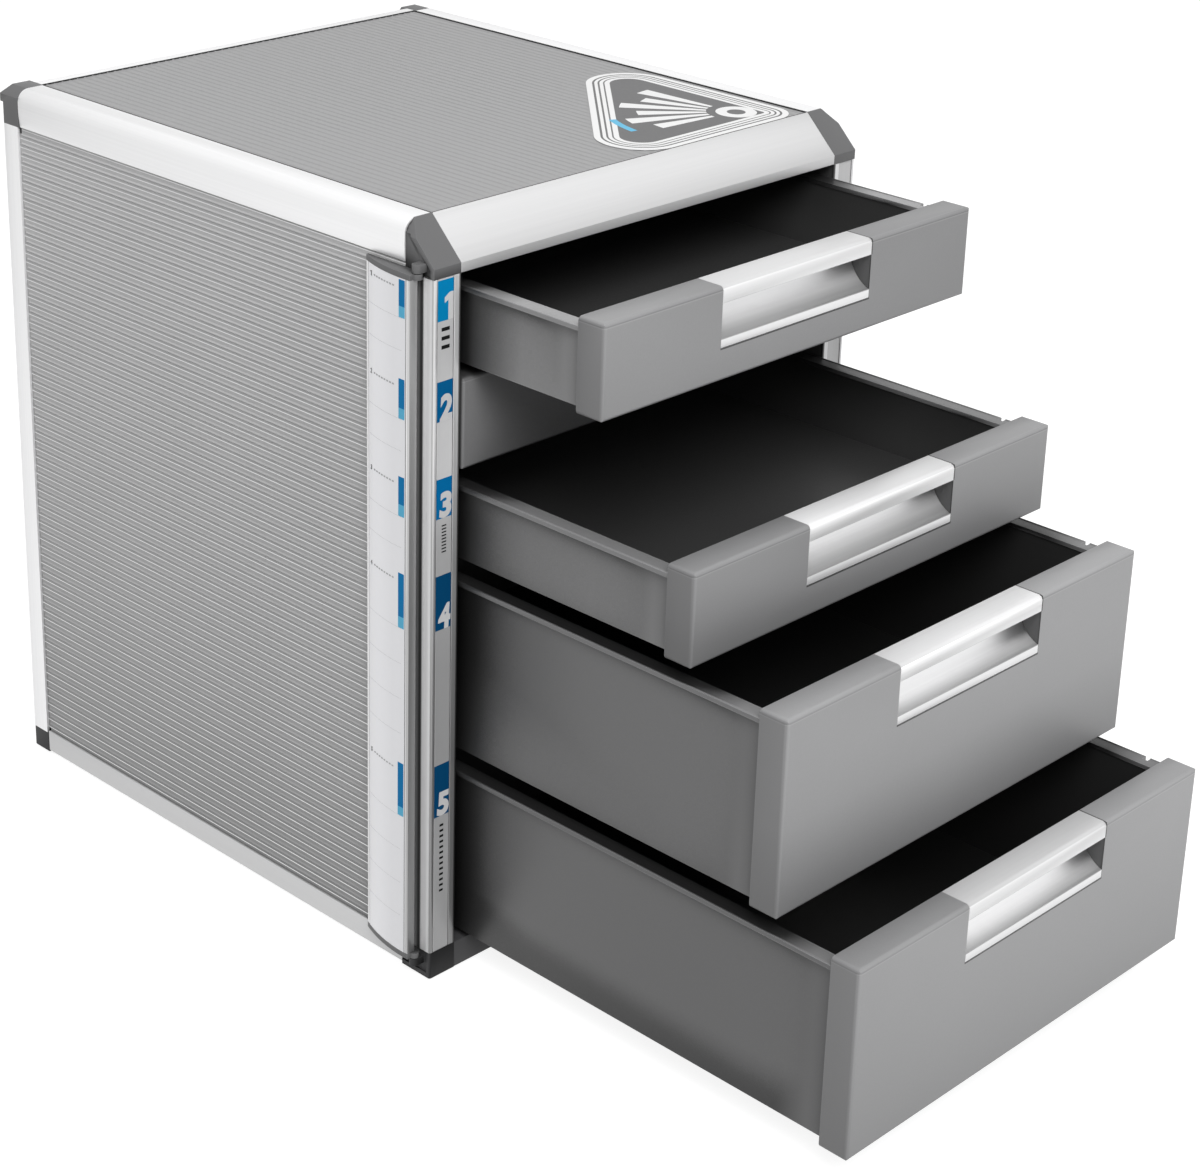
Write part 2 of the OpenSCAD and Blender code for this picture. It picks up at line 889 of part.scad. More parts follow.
module top_panel() {
    half_w = side_rail_x - top_panel_gap;
    front_y = slope_d + top_panel_gap;
    back_y = back_rail_y - top_panel_gap;
    in_cabinet()
        color("darkgray") {
            box_between([-half_w, front_y, top_ledge_z], [half_w, back_y, top_ledge_z + sheet_t]);
            along_y(front_y, back_y)
                rib_row(-half_w, half_w, top_ledge_z + sheet_t, top_rib_h);
        }
}

module bottom_panel() {
    in_cabinet()
        color("dimgray")
            along_z(bottom_sheet_z, bottom_sheet_z + sheet_t) {
                rect_between([edge_gap - opening_x, front_post_d - sheet_bite],
                    [opening_x - edge_gap, back_rail_y + sheet_bite]);
                rect_between([-side_rail_x - sheet_bite, front_post_d + edge_gap],
                    [side_rail_x + sheet_bite, back_cap_y - edge_gap]);
            }
}

module back_panel() {
    in_cabinet()
        color("dimgray")
            along_y(back_sheet_y, back_sheet_y + sheet_t) {
                rect_between([edge_gap - opening_x, back_low - sheet_bite],
                    [opening_x - edge_gap, side_high + sheet_bite]);
                rect_between([-opening_x - sheet_bite, back_low + edge_gap],
                    [opening_x + sheet_bite, side_high - edge_gap]);
            }
}

// ---------------------------------------------------------------- runners

module runner() {
    ledge_inner = tray_x + run_gap + join;
    ledge_front = front_t + join;
    post_gap_x = opening_x - edge_gap;
    box_between([runner_inner, front_post_d - sheet_bite, opening_low + slot_play],
        [runner_outer, back_post_y + sheet_bite, opening_high - slot_play]);
    for (i = [0:drawer_count - 1]) {
        ledge_top = flange_low(i) - run_gap;
        rib_low = flange_top(i) + bead_r / 2 + run_gap;
        for (shelf = [[ledge_top - ledge_t, ledge_top, back_post_y - edge_gap],
                [rib_low, rib_low + tip_rib_t, ledge_front + tip_rib_l]]) {
            box_between([ledge_inner, front_post_d + edge_gap, shelf[0]],
                [runner_inner + join, shelf[2], shelf[1]]);
            box_between([ledge_inner, ledge_front, shelf[0]],
                [post_gap_x, front_post_d + edge_gap + join, shelf[1]]);
        }
    }
}

module runner_left() {
    in_cabinet() color("dimgray") on_left() runner();
}

module runner_right() {
    in_cabinet() color("dimgray") runner();
}

// ---------------------------------------------------------------- drawers

// A drawer's pieces are drawn closed, then slid out along the runners
module in_drawer(i) {
    in_cabinet()
        translate([0, -drawer_open[i], 0])
            children();
}

peg_edge = front_wall + peg_r + 2 * front_rib_t;

module at_pegs(i) {
    low = max(front_top(i) - front_heights[i] + peg_edge, tray_low(i) + tray_wall + peg_r);
    high = min(front_top(i) - peg_edge, flange_low(i) - peg_r);
    for (x = [-tray_x + tray_wall + peg_edge, tray_x - tray_wall - peg_edge])
        for (z = [low, high])
            translate([x, 0, z])
                rotate([-90, 0, 0])
                    children();
}

module handle_notch(i, grow) {
    half = handle_w / 2 + grow;
    box_between([-half, -over, front_top(i) - handle_h - grow],
        [half, front_t + over, front_top(i) + over]);
}

module front_shell(i) {
    top = front_top(i);
    low = top - front_heights[i];
    half = front_w / 2;
    deep = front_t + front_edge_r;
    intersection() {
        along_y(0, front_t)
            round_rect([-half, low], [half, top], front_corner_r);
        along_z(low, top)
            round_rect([-half, 0], [half, deep], front_edge_r);
        along_x(-half, half)
            round_rect([0, low], [deep, top], front_edge_r);
    }
}

module front_cavity(i) {
    top = front_top(i);
    low = top - front_heights[i];
    half = front_w / 2;
    difference() {
        box_between([front_wall - half, front_wall, low + front_wall],
            [half - front_wall, front_t + over, top - front_wall]);
        handle_notch(i, front_wall + handle_play);
        for (k = [1:front_bays - 1])
            translate([k * front_w / front_bays - half - front_rib_t / 2, 0, low])
                cube([front_rib_t, front_t + 2 * over, front_heights[i]]);
        at_pegs(i)
            cylinder(h = front_t + 2 * over, r = peg_r + front_rib_t);
    }
}

module drawer_front(i) {
    in_drawer(i)
        color("darkgray") {
            difference() {
                front_shell(i);
                handle_notch(i, handle_play);
                front_cavity(i);
            }
            translate([0, front_t - join, 0])
                at_pegs(i)
                    cylinder(h = join + tray_wall, r = peg_r);
        }
}

// The top of the handle and the strip that the fingers pull are one bent sheet
module handle_sheet() {
    mirror([1, 0])
        difference() {
            one_round_rect([-front_t, -handle_strip_h], [0, 0], front_edge_r);
            one_round_rect([-front_t - over, -handle_strip_h - over], [-handle_t, -handle_t],
                front_edge_r - handle_t);
        }
}

// The handle in Y and Z, with the upper front edge of its drawer front at the origin
module handle_section() {
    centre_y = scoop_depth - scoop_r;
    lip_top = handle_lip_h - handle_h;
    centre_z = lip_top + sqrt(pow(scoop_r, 2) - pow(centre_y - handle_t / 2, 2));
    handle_sheet();
    rect_between([scoop_depth, centre_z], [scoop_depth + handle_t, -handle_t / 2]);
    rect_between([0, -handle_h], [handle_t, lip_top]);
    intersection() {
        translate([centre_y, centre_z])
            difference() {
                circle(scoop_r + handle_t, $fn = 96);
                circle(scoop_r, $fn = 96);
            }
        rect_between([handle_t / 4, -handle_h], [scoop_depth + handle_t, centre_z + join]);
    }
}

module drawer_handle(i) {
    in_drawer(i)
        color("silver")
            along_x(-handle_w / 2, handle_w / 2)
                translate([0, front_top(i)])
                    handle_section();
}

module drawer_tray(i) {
    low = tray_low(i);
    top = flange_top(i);
    back = front_t + tray_l;
    in_drawer(i)
        color("gray")
            difference() {
                union() {
                    box_between([-tray_x, front_t, low], [tray_x, back, top]);
                    box_between([-flange_x, front_t, flange_low(i)], [flange_x, back, top]);
                    for (s = [-1, 1]) {
                        translate([s * (flange_x - bead_r), 0, top - bead_r / 2])
                            along_y(front_t, back)
                                circle(bead_r);
                        translate([s * (tray_x + flange_x) / 2, 0, 0])
                            box_between([(tray_x - flange_x) / 2, back - stop_l, top - join],
                                [(flange_x - tray_x) / 2, back, top + stop_h]);
                    }
                }
                box_between([tray_wall - tray_x, front_t + tray_wall, low + tray_wall],
                    [tray_x - tray_wall, back - tray_wall, flange_low(i)]);
                box_between([-flange_inner_x, front_t + tray_wall + liner_wall, low + tray_wall],
                    [flange_inner_x, back - tray_wall - liner_wall, top + over]);
                translate([flange_x, front_t + notch_y, low])
                    box_between([tray_x - flange_x + join, 0, 0],
                        [flange_x - tray_x, notch_w, top - low + over]);
                translate([0, front_t - over, 0])
                    at_pegs(i)
                        cylinder(h = tray_wall + 2 * over, r = peg_r + screw_play);
            }
}

module drawer_liner(i) {
    low = tray_low(i) + tray_wall;
    outer = tray_x - tray_wall - liner_play;
    front = front_t + tray_wall + liner_play;
    back = front_t + tray_l - tray_wall - liner_play;
    in_drawer(i)
        color([0.12, 0.12, 0.12])
            difference() {
                box_between([-outer, front, low], [outer, back, flange_low(i)]);
                box_between([liner_wall - outer, front + liner_wall, low + liner_wall],
                    [outer - liner_wall, back - liner_wall, flange_low(i) + over]);
            }
}

// ---------------------------------------------------------------- index flap

flap_low = base_z + flap_z;
flap_high = opening_high + flap_rise;
hinge_axis_x = outer_x + hinge_x;

module hinge_lug(z) {
    lug_low_x = outer_x - cap_recess - join;
    box_between([lug_low_x, hinge_y - lug_r, z], [hinge_axis_x, hinge_y + lug_r, z + lug_h]);
    translate([hinge_axis_x, hinge_y, z])
        cylinder(h = lug_h, r = lug_r);
}

module hinge_bore(z) {
    translate([hinge_axis_x, hinge_y, z - over])
        cylinder(h = lug_h + 2 * over, r = pin_r + pin_play);
}

// The flap's outer curve passes its crown and its free edge
crown_fall = flap_reach - flap_edge_reach;
crown_run = flap_w - flap_crown;
flap_r = (pow(crown_run, 2) + pow(crown_fall, 2)) / (2 * crown_fall);

module flap_disc(inset) {
    translate([outer_x + flap_reach - flap_r, hinge_y + flap_crown])
        circle(flap_r - inset, $fn = 256);
}

module flap_band(inset) {
    nose = hinge_x - flap_gap;
    intersection() {
        flap_disc(inset);
        difference() {
            rect_between([outer_x + flap_gap + inset, hinge_y + inset],
                [outer_x + flap_reach + over, hinge_y + flap_w - inset]);
            translate([outer_x + flap_gap, hinge_y])
                rotate(45)
                    square((nose + inset) * sqrt(2), center = true);
        }
    }
}

module flap_extrusion() {
    in_cabinet()
        color("lightgray")
            on_left()
                along_z(flap_low + flap_cap_h, flap_high - flap_cap_h)
                    difference() {
                        flap_band(0);
                        flap_band(flap_wall + card_t);
                        card_section(0, card_play);
                    }
}

// The card lies in a shallow recess of the flap's outer curve
module card_section(depth, play) {
    intersection() {
        difference() {
            flap_disc(depth - play);
            flap_disc(card_t + play);
        }
        rect_between([outer_x, hinge_y + card_margin - play],
            [outer_x + flap_reach + over, hinge_y + flap_w - card_margin + play]);
    }
}

module flap_card() {
    in_cabinet()
        color("lavender")
            on_left()
                along_z(flap_low + flap_cap_h, flap_high - flap_cap_h)
                    card_section(card_play / 2, 0);
}

module flap_cap(low, plug_low, plug_high, pin_low, pin_high) {
    along_z(low, low + flap_cap_h) {
        flap_band(0);
        translate([hinge_axis_x, hinge_y])
            circle(lug_r);
    }
    along_z(plug_low, plug_high)
        flap_band(flap_wall + card_t + tenon_play);
    translate([hinge_axis_x, hinge_y, pin_low])
        cylinder(h = pin_high - pin_low, r = pin_r);
}

module flap_top_cap() {
    low = flap_high - flap_cap_h;
    in_cabinet()
        color("dimgray")
            on_left()
                flap_cap(low, low - flap_plug_l, low + join, low, flap_high + lug_gap + lug_h);
}

module flap_bottom_cap() {
    high = flap_low + flap_cap_h;
    in_cabinet()
        color("dimgray")
            on_left()
                flap_cap(flap_low, high - join, high + flap_plug_l, flap_low - lug_gap - lug_h, high);
}

// ---------------------------------------------------------------- trim

module number_strip() {
    in_cabinet()
        color("aliceblue")
            on_left()
                box_between([outer_x - strip_edge - strip_w, strip_groove - strip_t, opening_low],
                    [outer_x - strip_edge, strip_groove, opening_high]);
}

module feet() {
    in_cabinet()
        color([0.1, 0.1, 0.1])
            for (x = [-1, 1] * (opening_x + outer_x) / 2)
                for (y = [front_post_d / 2, (back_cap_y + cabinet_d) / 2])
                    translate([x, y, 0])
                        cylinder(h = foot_t, r = foot_r);
}

// A right triangle with rounded corners: its square corner lies at the front right of the top panel
module label_outline() {
    left_angle = atan(label_leg_y / label_leg_x);
    slant = [-sin(left_angle), cos(left_angle)];
    square_corner = [-label_r, label_r];
    left_tip = [label_tip_r / tan(left_angle / 2) - label_leg_x, label_tip_r];
    back_tip = [-label_tip_r, label_leg_y - label_tip_r / tan((90 - left_angle) / 2)];
    polygon([
        square_corner - [0, label_r],
        square_corner + [label_r, 0],
        back_tip + [label_tip_r, 0],
        back_tip + label_tip_r * slant,
        left_tip + label_tip_r * slant,
        left_tip - [0, label_tip_r]
    ]);
    translate(square_corner)
        circle(label_r);
    for (tip = [left_tip, back_tip])
        translate(tip)
            circle(label_tip_r);
}

module top_label() {
    panel_face = top_z - top_recess;
    right_edge = side_rail_x - top_panel_gap - label_margin_x;
    front_edge = slope_d + top_panel_gap + label_margin_y;
    in_cabinet()
        color("white")
            translate([right_edge, front_edge, 0])
                along_z(panel_face, panel_face + label_t)
                    label_outline();
}

top_panel();
left_side_panel();
right_side_panel();
back_panel();
bottom_panel();
top_front_rail();
top_left_rail();
top_right_rail();
top_back_rail();
bottom_front_rail();
bottom_left_rail();
bottom_right_rail();
bottom_back_rail();
front_left_post();
front_right_post();
back_left_post();
back_right_post();
cap_top_front_left();
cap_top_front_right();
cap_top_back_left();
cap_top_back_right();
cap_bottom_front_left();
cap_bottom_front_right();
cap_bottom_back_left();
cap_bottom_back_right();
runner_left();
runner_right();
number_strip();
feet();
top_label();
frame_screws();
flap_extrusion();
flap_card();
flap_top_cap();
flap_bottom_cap();
for (i = [0:drawer_count - 1]) {
    drawer_tray(i);
    drawer_liner(i);
    drawer_front(i);
    drawer_handle(i);
}
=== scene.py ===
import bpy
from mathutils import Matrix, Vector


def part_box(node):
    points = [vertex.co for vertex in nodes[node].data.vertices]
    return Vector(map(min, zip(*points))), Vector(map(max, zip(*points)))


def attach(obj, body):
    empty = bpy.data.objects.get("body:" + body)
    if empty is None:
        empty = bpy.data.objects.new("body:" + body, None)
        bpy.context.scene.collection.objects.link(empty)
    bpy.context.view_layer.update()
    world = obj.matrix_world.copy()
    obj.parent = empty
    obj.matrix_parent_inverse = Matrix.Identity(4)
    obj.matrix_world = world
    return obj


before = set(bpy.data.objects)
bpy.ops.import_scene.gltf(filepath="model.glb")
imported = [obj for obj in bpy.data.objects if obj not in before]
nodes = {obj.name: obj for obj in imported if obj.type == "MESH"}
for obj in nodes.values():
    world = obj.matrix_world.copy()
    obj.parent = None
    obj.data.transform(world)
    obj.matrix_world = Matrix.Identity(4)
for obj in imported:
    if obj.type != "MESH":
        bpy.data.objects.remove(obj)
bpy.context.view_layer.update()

import math
import bpy
import numpy as np
from mathutils import Euler, Matrix, Vector

scene = bpy.context.scene
mm = 0.001
shiftX, shiftY = 4 * mm, -44.25 * mm    # the cabinet's middle and front plane in the shared frame
print("frame loaded:", len(nodes), "nodes")


# meshes from arrays

def arrayMesh(name, verts, faces):
    mesh = bpy.data.meshes.new(name)
    mesh.from_pydata(np.asarray(verts, float).reshape(-1, 3).tolist(), [], np.asarray(faces).tolist())
    mesh.update(calc_edges=True)
    mesh.validate()
    return mesh


def gridFaces(rows, cols, start=0):
    i, j = np.meshgrid(np.arange(rows - 1), np.arange(cols - 1), indexing="ij")
    first = start + i * cols + j
    return np.stack([first, first + cols, first + cols + 1, first + 1], -1).reshape(-1, 4)


def surfaceMesh(name, sheets):
    # Each sheet is a grid of points[i, j]; neighbours along i and j are joined by quads.
    verts, faces, start = [], [], 0
    for points in sheets:
        verts.append(points.reshape(-1, 3))
        faces.append(gridFaces(*points.shape[:2], start))
        start += points.shape[0] * points.shape[1]
    return arrayMesh(name, np.concatenate(verts), np.concatenate(faces))


def addPiece(name, mesh, material, body):
    piece = bpy.data.objects.new(name, mesh)
    scene.collection.objects.link(piece)
    mesh.materials.append(material)
    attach(piece, body)
    return piece


# shader helpers

def newGroup(name, inputs, outputs):
    group = bpy.data.node_groups.new(name, "ShaderNodeTree")
    for label, kind, value in inputs:
        socket = group.interface.new_socket(name=label, in_out="INPUT", socket_type=kind)
        socket.default_value = value
    for label in outputs:
        group.interface.new_socket(name=label, in_out="OUTPUT", socket_type="NodeSocketFloat")
    return group, group.nodes.new("NodeGroupInput"), group.nodes.new("NodeGroupOutput")


def mathNode(tree, operation, a, b=0.0, clamp=False):
    node = tree.nodes.new("ShaderNodeMath")
    node.operation = operation
    node.use_clamp = clamp
    for socket, value in zip(node.inputs, (a, b)):
        if isinstance(value, (int, float)):
            socket.default_value = value
        else:
            tree.links.new(value, socket)
    return node.outputs[0]


def mapRange(tree, value, fromLow, fromHigh, toLow, toHigh, smooth=False):
    node = tree.nodes.new("ShaderNodeMapRange")
    node.interpolation_type = "SMOOTHSTEP" if smooth else "LINEAR"
    limits = {"From Min": fromLow, "From Max": fromHigh, "To Min": toLow, "To Max": toHigh}
    for label, number in limits.items():
        node.inputs[label].default_value = number
    tree.links.new(value, node.inputs["Value"])
    return node.outputs["Result"]


def mixColour(tree, factor, a, b, blend="MIX"):
    # Sockets 0, 6 and 7 are the factor and the two colours of a Mix node that is set to RGBA.
    node = tree.nodes.new("ShaderNodeMix")
    node.data_type = "RGBA"
    node.blend_type = blend
    for socket, value in ((node.inputs[0], factor), (node.inputs[6], a), (node.inputs[7], b)):
        if isinstance(value, (int, float)):
            socket.default_value = value
        elif isinstance(value, tuple):
            socket.default_value = (*value, 1)
        else:
            tree.links.new(value, socket)
    return node.outputs[2]


def splitVector(tree, source):
    split = tree.nodes.new("ShaderNodeSeparateXYZ")
    tree.links.new(source, split.inputs[0])
    return split.outputs


def objectPlace(tree):
    return splitVector(tree, tree.nodes.new("ShaderNodeTexCoord").outputs["Object"])


def grainGroup():
    # Moulding grain: fine and broad noise added. Tone runs 0 to 1 about one half, Height is the fine part.
    group, given, out = newGroup("mouldGrain", [("Scale", "NodeSocketFloat", 1500.0)], ["Tone", "Height"])
    coord = group.nodes.new("ShaderNodeTexCoord")
    halves = []
    for scale, detail in ((None, 3), (14, 4)):
        noise = group.nodes.new("ShaderNodeTexNoise")
        noise.inputs["Detail"].default_value = detail
        group.links.new(coord.outputs["Object"], noise.inputs["Vector"])
        if scale:
            noise.inputs["Scale"].default_value = scale
        else:
            group.links.new(given.outputs["Scale"], noise.inputs["Scale"])
            group.links.new(noise.outputs["Fac"], out.inputs["Height"])
        halves.append(mathNode(group, "MULTIPLY", noise.outputs["Fac"], 0.5))
    group.links.new(mathNode(group, "ADD", *halves), out.inputs["Tone"])
    return group


def marksGroup():
    # Drawing marks of an extrusion: noise squeezed across the marks and stretched along them.
    group, given, out = newGroup("drawingMarks", [("Stretch", "NodeSocketVector", (1, 1, 1))], ["Tone"])
    coord = group.nodes.new("ShaderNodeTexCoord")
    mapping = group.nodes.new("ShaderNodeMapping")
    noise = group.nodes.new("ShaderNodeTexNoise")
    noise.inputs["Scale"].default_value = 1
    noise.inputs["Detail"].default_value = 4
    group.links.new(coord.outputs["Object"], mapping.inputs["Vector"])
    group.links.new(given.outputs["Stretch"], mapping.inputs["Scale"])
    group.links.new(mapping.outputs["Vector"], noise.inputs["Vector"])
    group.links.new(noise.outputs["Fac"], out.inputs["Tone"])
    return group


def edgeGroup():
    # Edge mask: how far a rounded normal turns from the true one, so 1 along edges.
    group, given, out = newGroup("edgeMask", [("Radius", "NodeSocketFloat", 0.0006)], ["Mask"])
    bevel = group.nodes.new("ShaderNodeBevel")
    bevel.samples = 4
    geometry = group.nodes.new("ShaderNodeNewGeometry")
    dot = group.nodes.new("ShaderNodeVectorMath")
    dot.operation = "DOT_PRODUCT"
    group.links.new(given.outputs["Radius"], bevel.inputs["Radius"])
    group.links.new(bevel.outputs["Normal"], dot.inputs[0])
    group.links.new(geometry.outputs["Normal"], dot.inputs[1])
    turned = mathNode(group, "SUBTRACT", 1.0, dot.outputs["Value"])
    group.links.new(mathNode(group, "MULTIPLY", turned, 5.0, clamp=True), out.inputs["Mask"])
    return group


def shadeGroup():
    # Painted shade in tight places: the open share of the sky within Reach, mapped from Shut to Open onto 0 to
    # 1.
    group, given, out = newGroup("tightPlaces", [("Reach", "NodeSocketFloat", 0.05),
        ("Shut", "NodeSocketFloat", 0.4), ("Open", "NodeSocketFloat", 0.9)], ["Mask"])
    sky = group.nodes.new("ShaderNodeAmbientOcclusion")
    sky.samples = 16
    openness = group.nodes.new("ShaderNodeMapRange")
    openness.interpolation_type = "SMOOTHSTEP"
    group.links.new(given.outputs["Reach"], sky.inputs["Distance"])
    group.links.new(sky.outputs["AO"], openness.inputs["Value"])
    group.links.new(given.outputs["Shut"], openness.inputs["From Min"])
    group.links.new(given.outputs["Open"], openness.inputs["From Max"])
    group.links.new(openness.outputs["Result"], out.inputs["Mask"])
    return group


grain, marks, edges, shade = grainGroup(), marksGroup(), edgeGroup(), shadeGroup()


def useGroup(tree, group, **values):
    node = tree.nodes.new("ShaderNodeGroup")
    node.node_tree = group
    for label, value in values.items():
        node.inputs[label.capitalize()].default_value = value
    return node.outputs


def newMaterial(name, colour, roughness=0.5, metallic=0.0, **sockets):
    # A material with its Principled shader; the caller links what varies.
    material = bpy.data.materials.new(name)
    material.use_nodes = True
    tree = material.node_tree
    shader = tree.nodes["Principled BSDF"]
    shader.inputs["Base Color"].default_value = (*colour, 1)
    shader.inputs["Roughness"].default_value = roughness
    shader.inputs["Metallic"].default_value = metallic
    for label, value in sockets.items():
        shader.inputs[label.replace("_", " ")].default_value = value
    return material, tree, shader


def addBump(tree, shader, height, distance):
    bump = tree.nodes.new("ShaderNodeBump")
    bump.inputs["Strength"].default_value = 1.0
    bump.inputs["Distance"].default_value = distance
    tree.links.new(height, bump.inputs["Height"])
    tree.links.new(bump.outputs["Normal"], shader.inputs["Normal"])


def spread(tree, value, low, high):
    # 0.35 to 0.65, where most of the noise lies, goes to low to high.
    return mapRange(tree, value, 0.35, 0.65, low, high)


def scaled(colour, factor):
    return tuple(min(1.0, c * factor) for c in colour)


def stopsFrom(start, stops):
    # Stops given in mm from a start, in metres.
    return [(start + place * mm, tone) for place, tone in stops]


def toneAlong(tree, axis, stops):
    # A grey tone that runs straight from stop to stop along one axis of the object; stops are (place, tone).
    low, high = stops[0][0], stops[-1][0]
    ramp = tree.nodes.new("ShaderNodeValToRGB")
    elements = ramp.color_ramp.elements
    for place, tone in stops:
        at = (place - low) / (high - low)
        element = elements[0] if at == 0 else elements[-1] if at == 1 else elements.new(at)
        element.color = (tone, tone, tone, 1)
    tree.links.new(mapRange(tree, objectPlace(tree)[axis], low, high, 0.0, 1.0), ramp.inputs["Fac"])
    return ramp.outputs["Color"]


def facingTone(tree, side, top):
    # Painted light and shade by facing: 1 on faces to the front and back, side on faces to the left and right,
    # top on faces that look up.
    facing = splitVector(tree, tree.nodes.new("ShaderNodeTexCoord").outputs["Normal"])
    across = mathNode(tree, "MULTIPLY", facing[0], facing[0])
    upward = mathNode(tree, "POWER", mathNode(tree, "MAXIMUM", facing[2], 0.0), 2.0)
    tone = mathNode(tree, "ADD", 1.0, mathNode(tree, "MULTIPLY", across, side - 1))
    return mathNode(tree, "ADD", tone, mathNode(tree, "MULTIPLY", upward, top - 1))


def alongTones(tree, body, tones):
    # Multiplies a colour by tones along axes; each entry is (axis, stops).
    for axis, stops in tones:
        body = mixColour(tree, 1.0, body, toneAlong(tree, axis, stops), "MULTIPLY")
    return body


def spotTones(tree, body, spots):
    # Darkens a colour only where all ramps of a spot are below 1; each spot is a row of (axis, stops).
    for spot in spots:
        tone = 0.0
        for axis, stops in spot:
            tone = mathNode(tree, "MAXIMUM", toneAlong(tree, axis, stops), tone)
        body = mixColour(tree, 1.0, body, tone, "MULTIPLY")
    return body


def band(low, high, tone):
    # Stops of a band with the given tone and 1 on both sides of it.
    soft, far = 0.05 * mm, 2 * mm
    before, after = [(low - far, 1.0), (low - soft, 1.0)], [(high + soft, 1.0), (high + far, 1.0)]
    return before + [(low, tone), (high, tone)] + after


def mouldedPlastic(name, look):
    # Body tone from the grain, painted light and shade by facing, a painted highlight on rims from the edge
    # mask, and painted shade in tight places.
    colour, roughness = look["colour"], look["roughness"]
    material, tree, shader = newMaterial(name, colour, roughness, look.get("metallic", 0.0),
        Specular_IOR_Level=look.get("specular", 0.5))
    tone = useGroup(tree, grain, scale=look.get("grain", 1500.0))
    mottle = look.get("mottle", 0.04)
    body = mixColour(tree, spread(tree, tone["Tone"], 0.0, 1.0), scaled(colour, 1 - mottle),
        scaled(colour, 1 + mottle))
    # Painted light and shade: faces to the sides and faces that look up take their own tones.
    if "side" in look:
        body = mixColour(tree, 1.0, body, facingTone(tree, look["side"], look["top"]), "MULTIPLY")
    body = alongTones(tree, body, look.get("tones", ()))
    body = spotTones(tree, body, look.get("spots", ()))
    # Painted highlight along the rims.
    if look.get("rim"):
        rimHighlight = mathNode(tree, "MULTIPLY", useGroup(tree, edges)["Mask"], look["rim"])
        body = mixColour(tree, rimHighlight, body, scaled(colour, look.get("rimTone", 1.8)))
    # Painted shade in tight places: darker where little sky is seen within the reach.
    if "reach" in look:
        openness = useGroup(tree, shade, reach=look["reach"], shut=look["shut"], open=look["open"])["Mask"]
        if "clear" in look:
            openness = mathNode(tree, "MAXIMUM", openness, toneAlong(tree, 1, look["clear"]))
        body = mixColour(tree, openness, scaled(colour, look.get("deep", 0.08)), body)
    tree.links.new(body, shader.inputs["Base Color"])
    tree.links.new(spread(tree, tone["Tone"], roughness - 0.04, roughness + 0.04), shader.inputs["Roughness"])
    addBump(tree, shader, tone["Height"], look.get("bump", 0.00002))
    return material


markScale = {"along": 5.0, "across": 900.0}


def satinAluminium(name, look, along, tones=()):
    # Marks run along one axis: that axis is scaled little and the other two much.
    colour, roughness = look["colour"], look["roughness"]
    material, tree, shader = newMaterial(name, colour, roughness, look["metallic"],
        Specular_IOR_Level=look.get("specular", 0.5))
    stretch = [markScale["along"] if axis == along else markScale["across"] for axis in "xyz"]
    tone = useGroup(tree, marks, stretch=stretch)["Tone"]
    depth = look.get("mottle", 0.015)
    body = mixColour(tree, spread(tree, tone, 0.0, 1.0), scaled(colour, 1 - depth), scaled(colour, 1 + depth))
    body = spotTones(tree, alongTones(tree, body, tones), look.get("spots", ()))
    if "metal" in look:
        tree.links.new(toneAlong(tree, *look["metal"]), shader.inputs["Metallic"])
    tree.links.new(body, shader.inputs["Base Color"])
    tree.links.new(spread(tree, tone, roughness - 0.02, roughness + 0.03), shader.inputs["Roughness"])
    addBump(tree, shader, tone, look.get("bump", 0.000004))
    return material


def dress(node, material):
    mesh = nodes[node].data
    mesh.materials.clear()
    mesh.materials.append(material)


# soft edges on the solids

softEdges = {"width": 0.0004, "segments": 2, "angle": 35, "weld": 1e-6,
    "skip": ("top_panel", "top_label", "flap_card")}


def soften(node):
    # Merged corners first, then a narrow round along every edge sharper than the angle.
    solid = nodes[node]
    weld = solid.modifiers.new("weld", "WELD")
    weld.merge_threshold = softEdges["weld"]
    bevel = solid.modifiers.new("softEdge", "BEVEL")
    bevel.width = softEdges["width"]
    bevel.segments = softEdges["segments"]
    bevel.limit_method = "ANGLE"
    bevel.angle_limit = math.radians(softEdges["angle"])
    bevel.harden_normals = True
    solid.data.polygons.foreach_set("use_smooth", np.ones(len(solid.data.polygons), bool))


# frame

frameLook = {"colour": (0.88, 0.88, 0.885), "roughness": 0.42, "metallic": 0.6}
frameMembers = {"x": ("top_back_rail", "bottom_back_rail"), "y": ("top_left_rail", "top_right_rail"),
    "z": ("back_left_post", "back_right_post")}
for along, members in frameMembers.items():
    railMetal = satinAluminium("railAluminium_" + along, frameLook, along)
    for member in members:
        dress(member, railMetal)

# The bottom side rails take a darker copy of the rails' aluminium: painted shade
sideBaseMetal = satinAluminium("sideBaseAluminium", dict(frameLook, colour=(0.58, 0.58, 0.583)), "y")
for member in ("bottom_left_rail", "bottom_right_rail"):
    dress(member, sideBaseMetal)

# The front rail has its lip below lipRise and its slope above, each painted a little lighter towards its top:
# painted light
slopeLook = {"colour": (0.9, 0.9, 0.905), "roughness": 0.42, "metallic": 0.25, "lipRise": 5.1 * mm}
railLow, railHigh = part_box("top_front_rail")
lipTop = railLow.z + slopeLook["lipRise"]
slopeTones = [(railLow.z, 0.70), (lipTop - 0.1 * mm, 0.74), (lipTop + 0.1 * mm, 0.69), (railHigh.z, 0.74)]
dress("top_front_rail", satinAluminium("slopeAluminium", slopeLook, "x", [(2, slopeTones)]))

postLook = {"colour": (0.86, 0.86, 0.865), "roughness": 0.4, "metallic": 0.5}
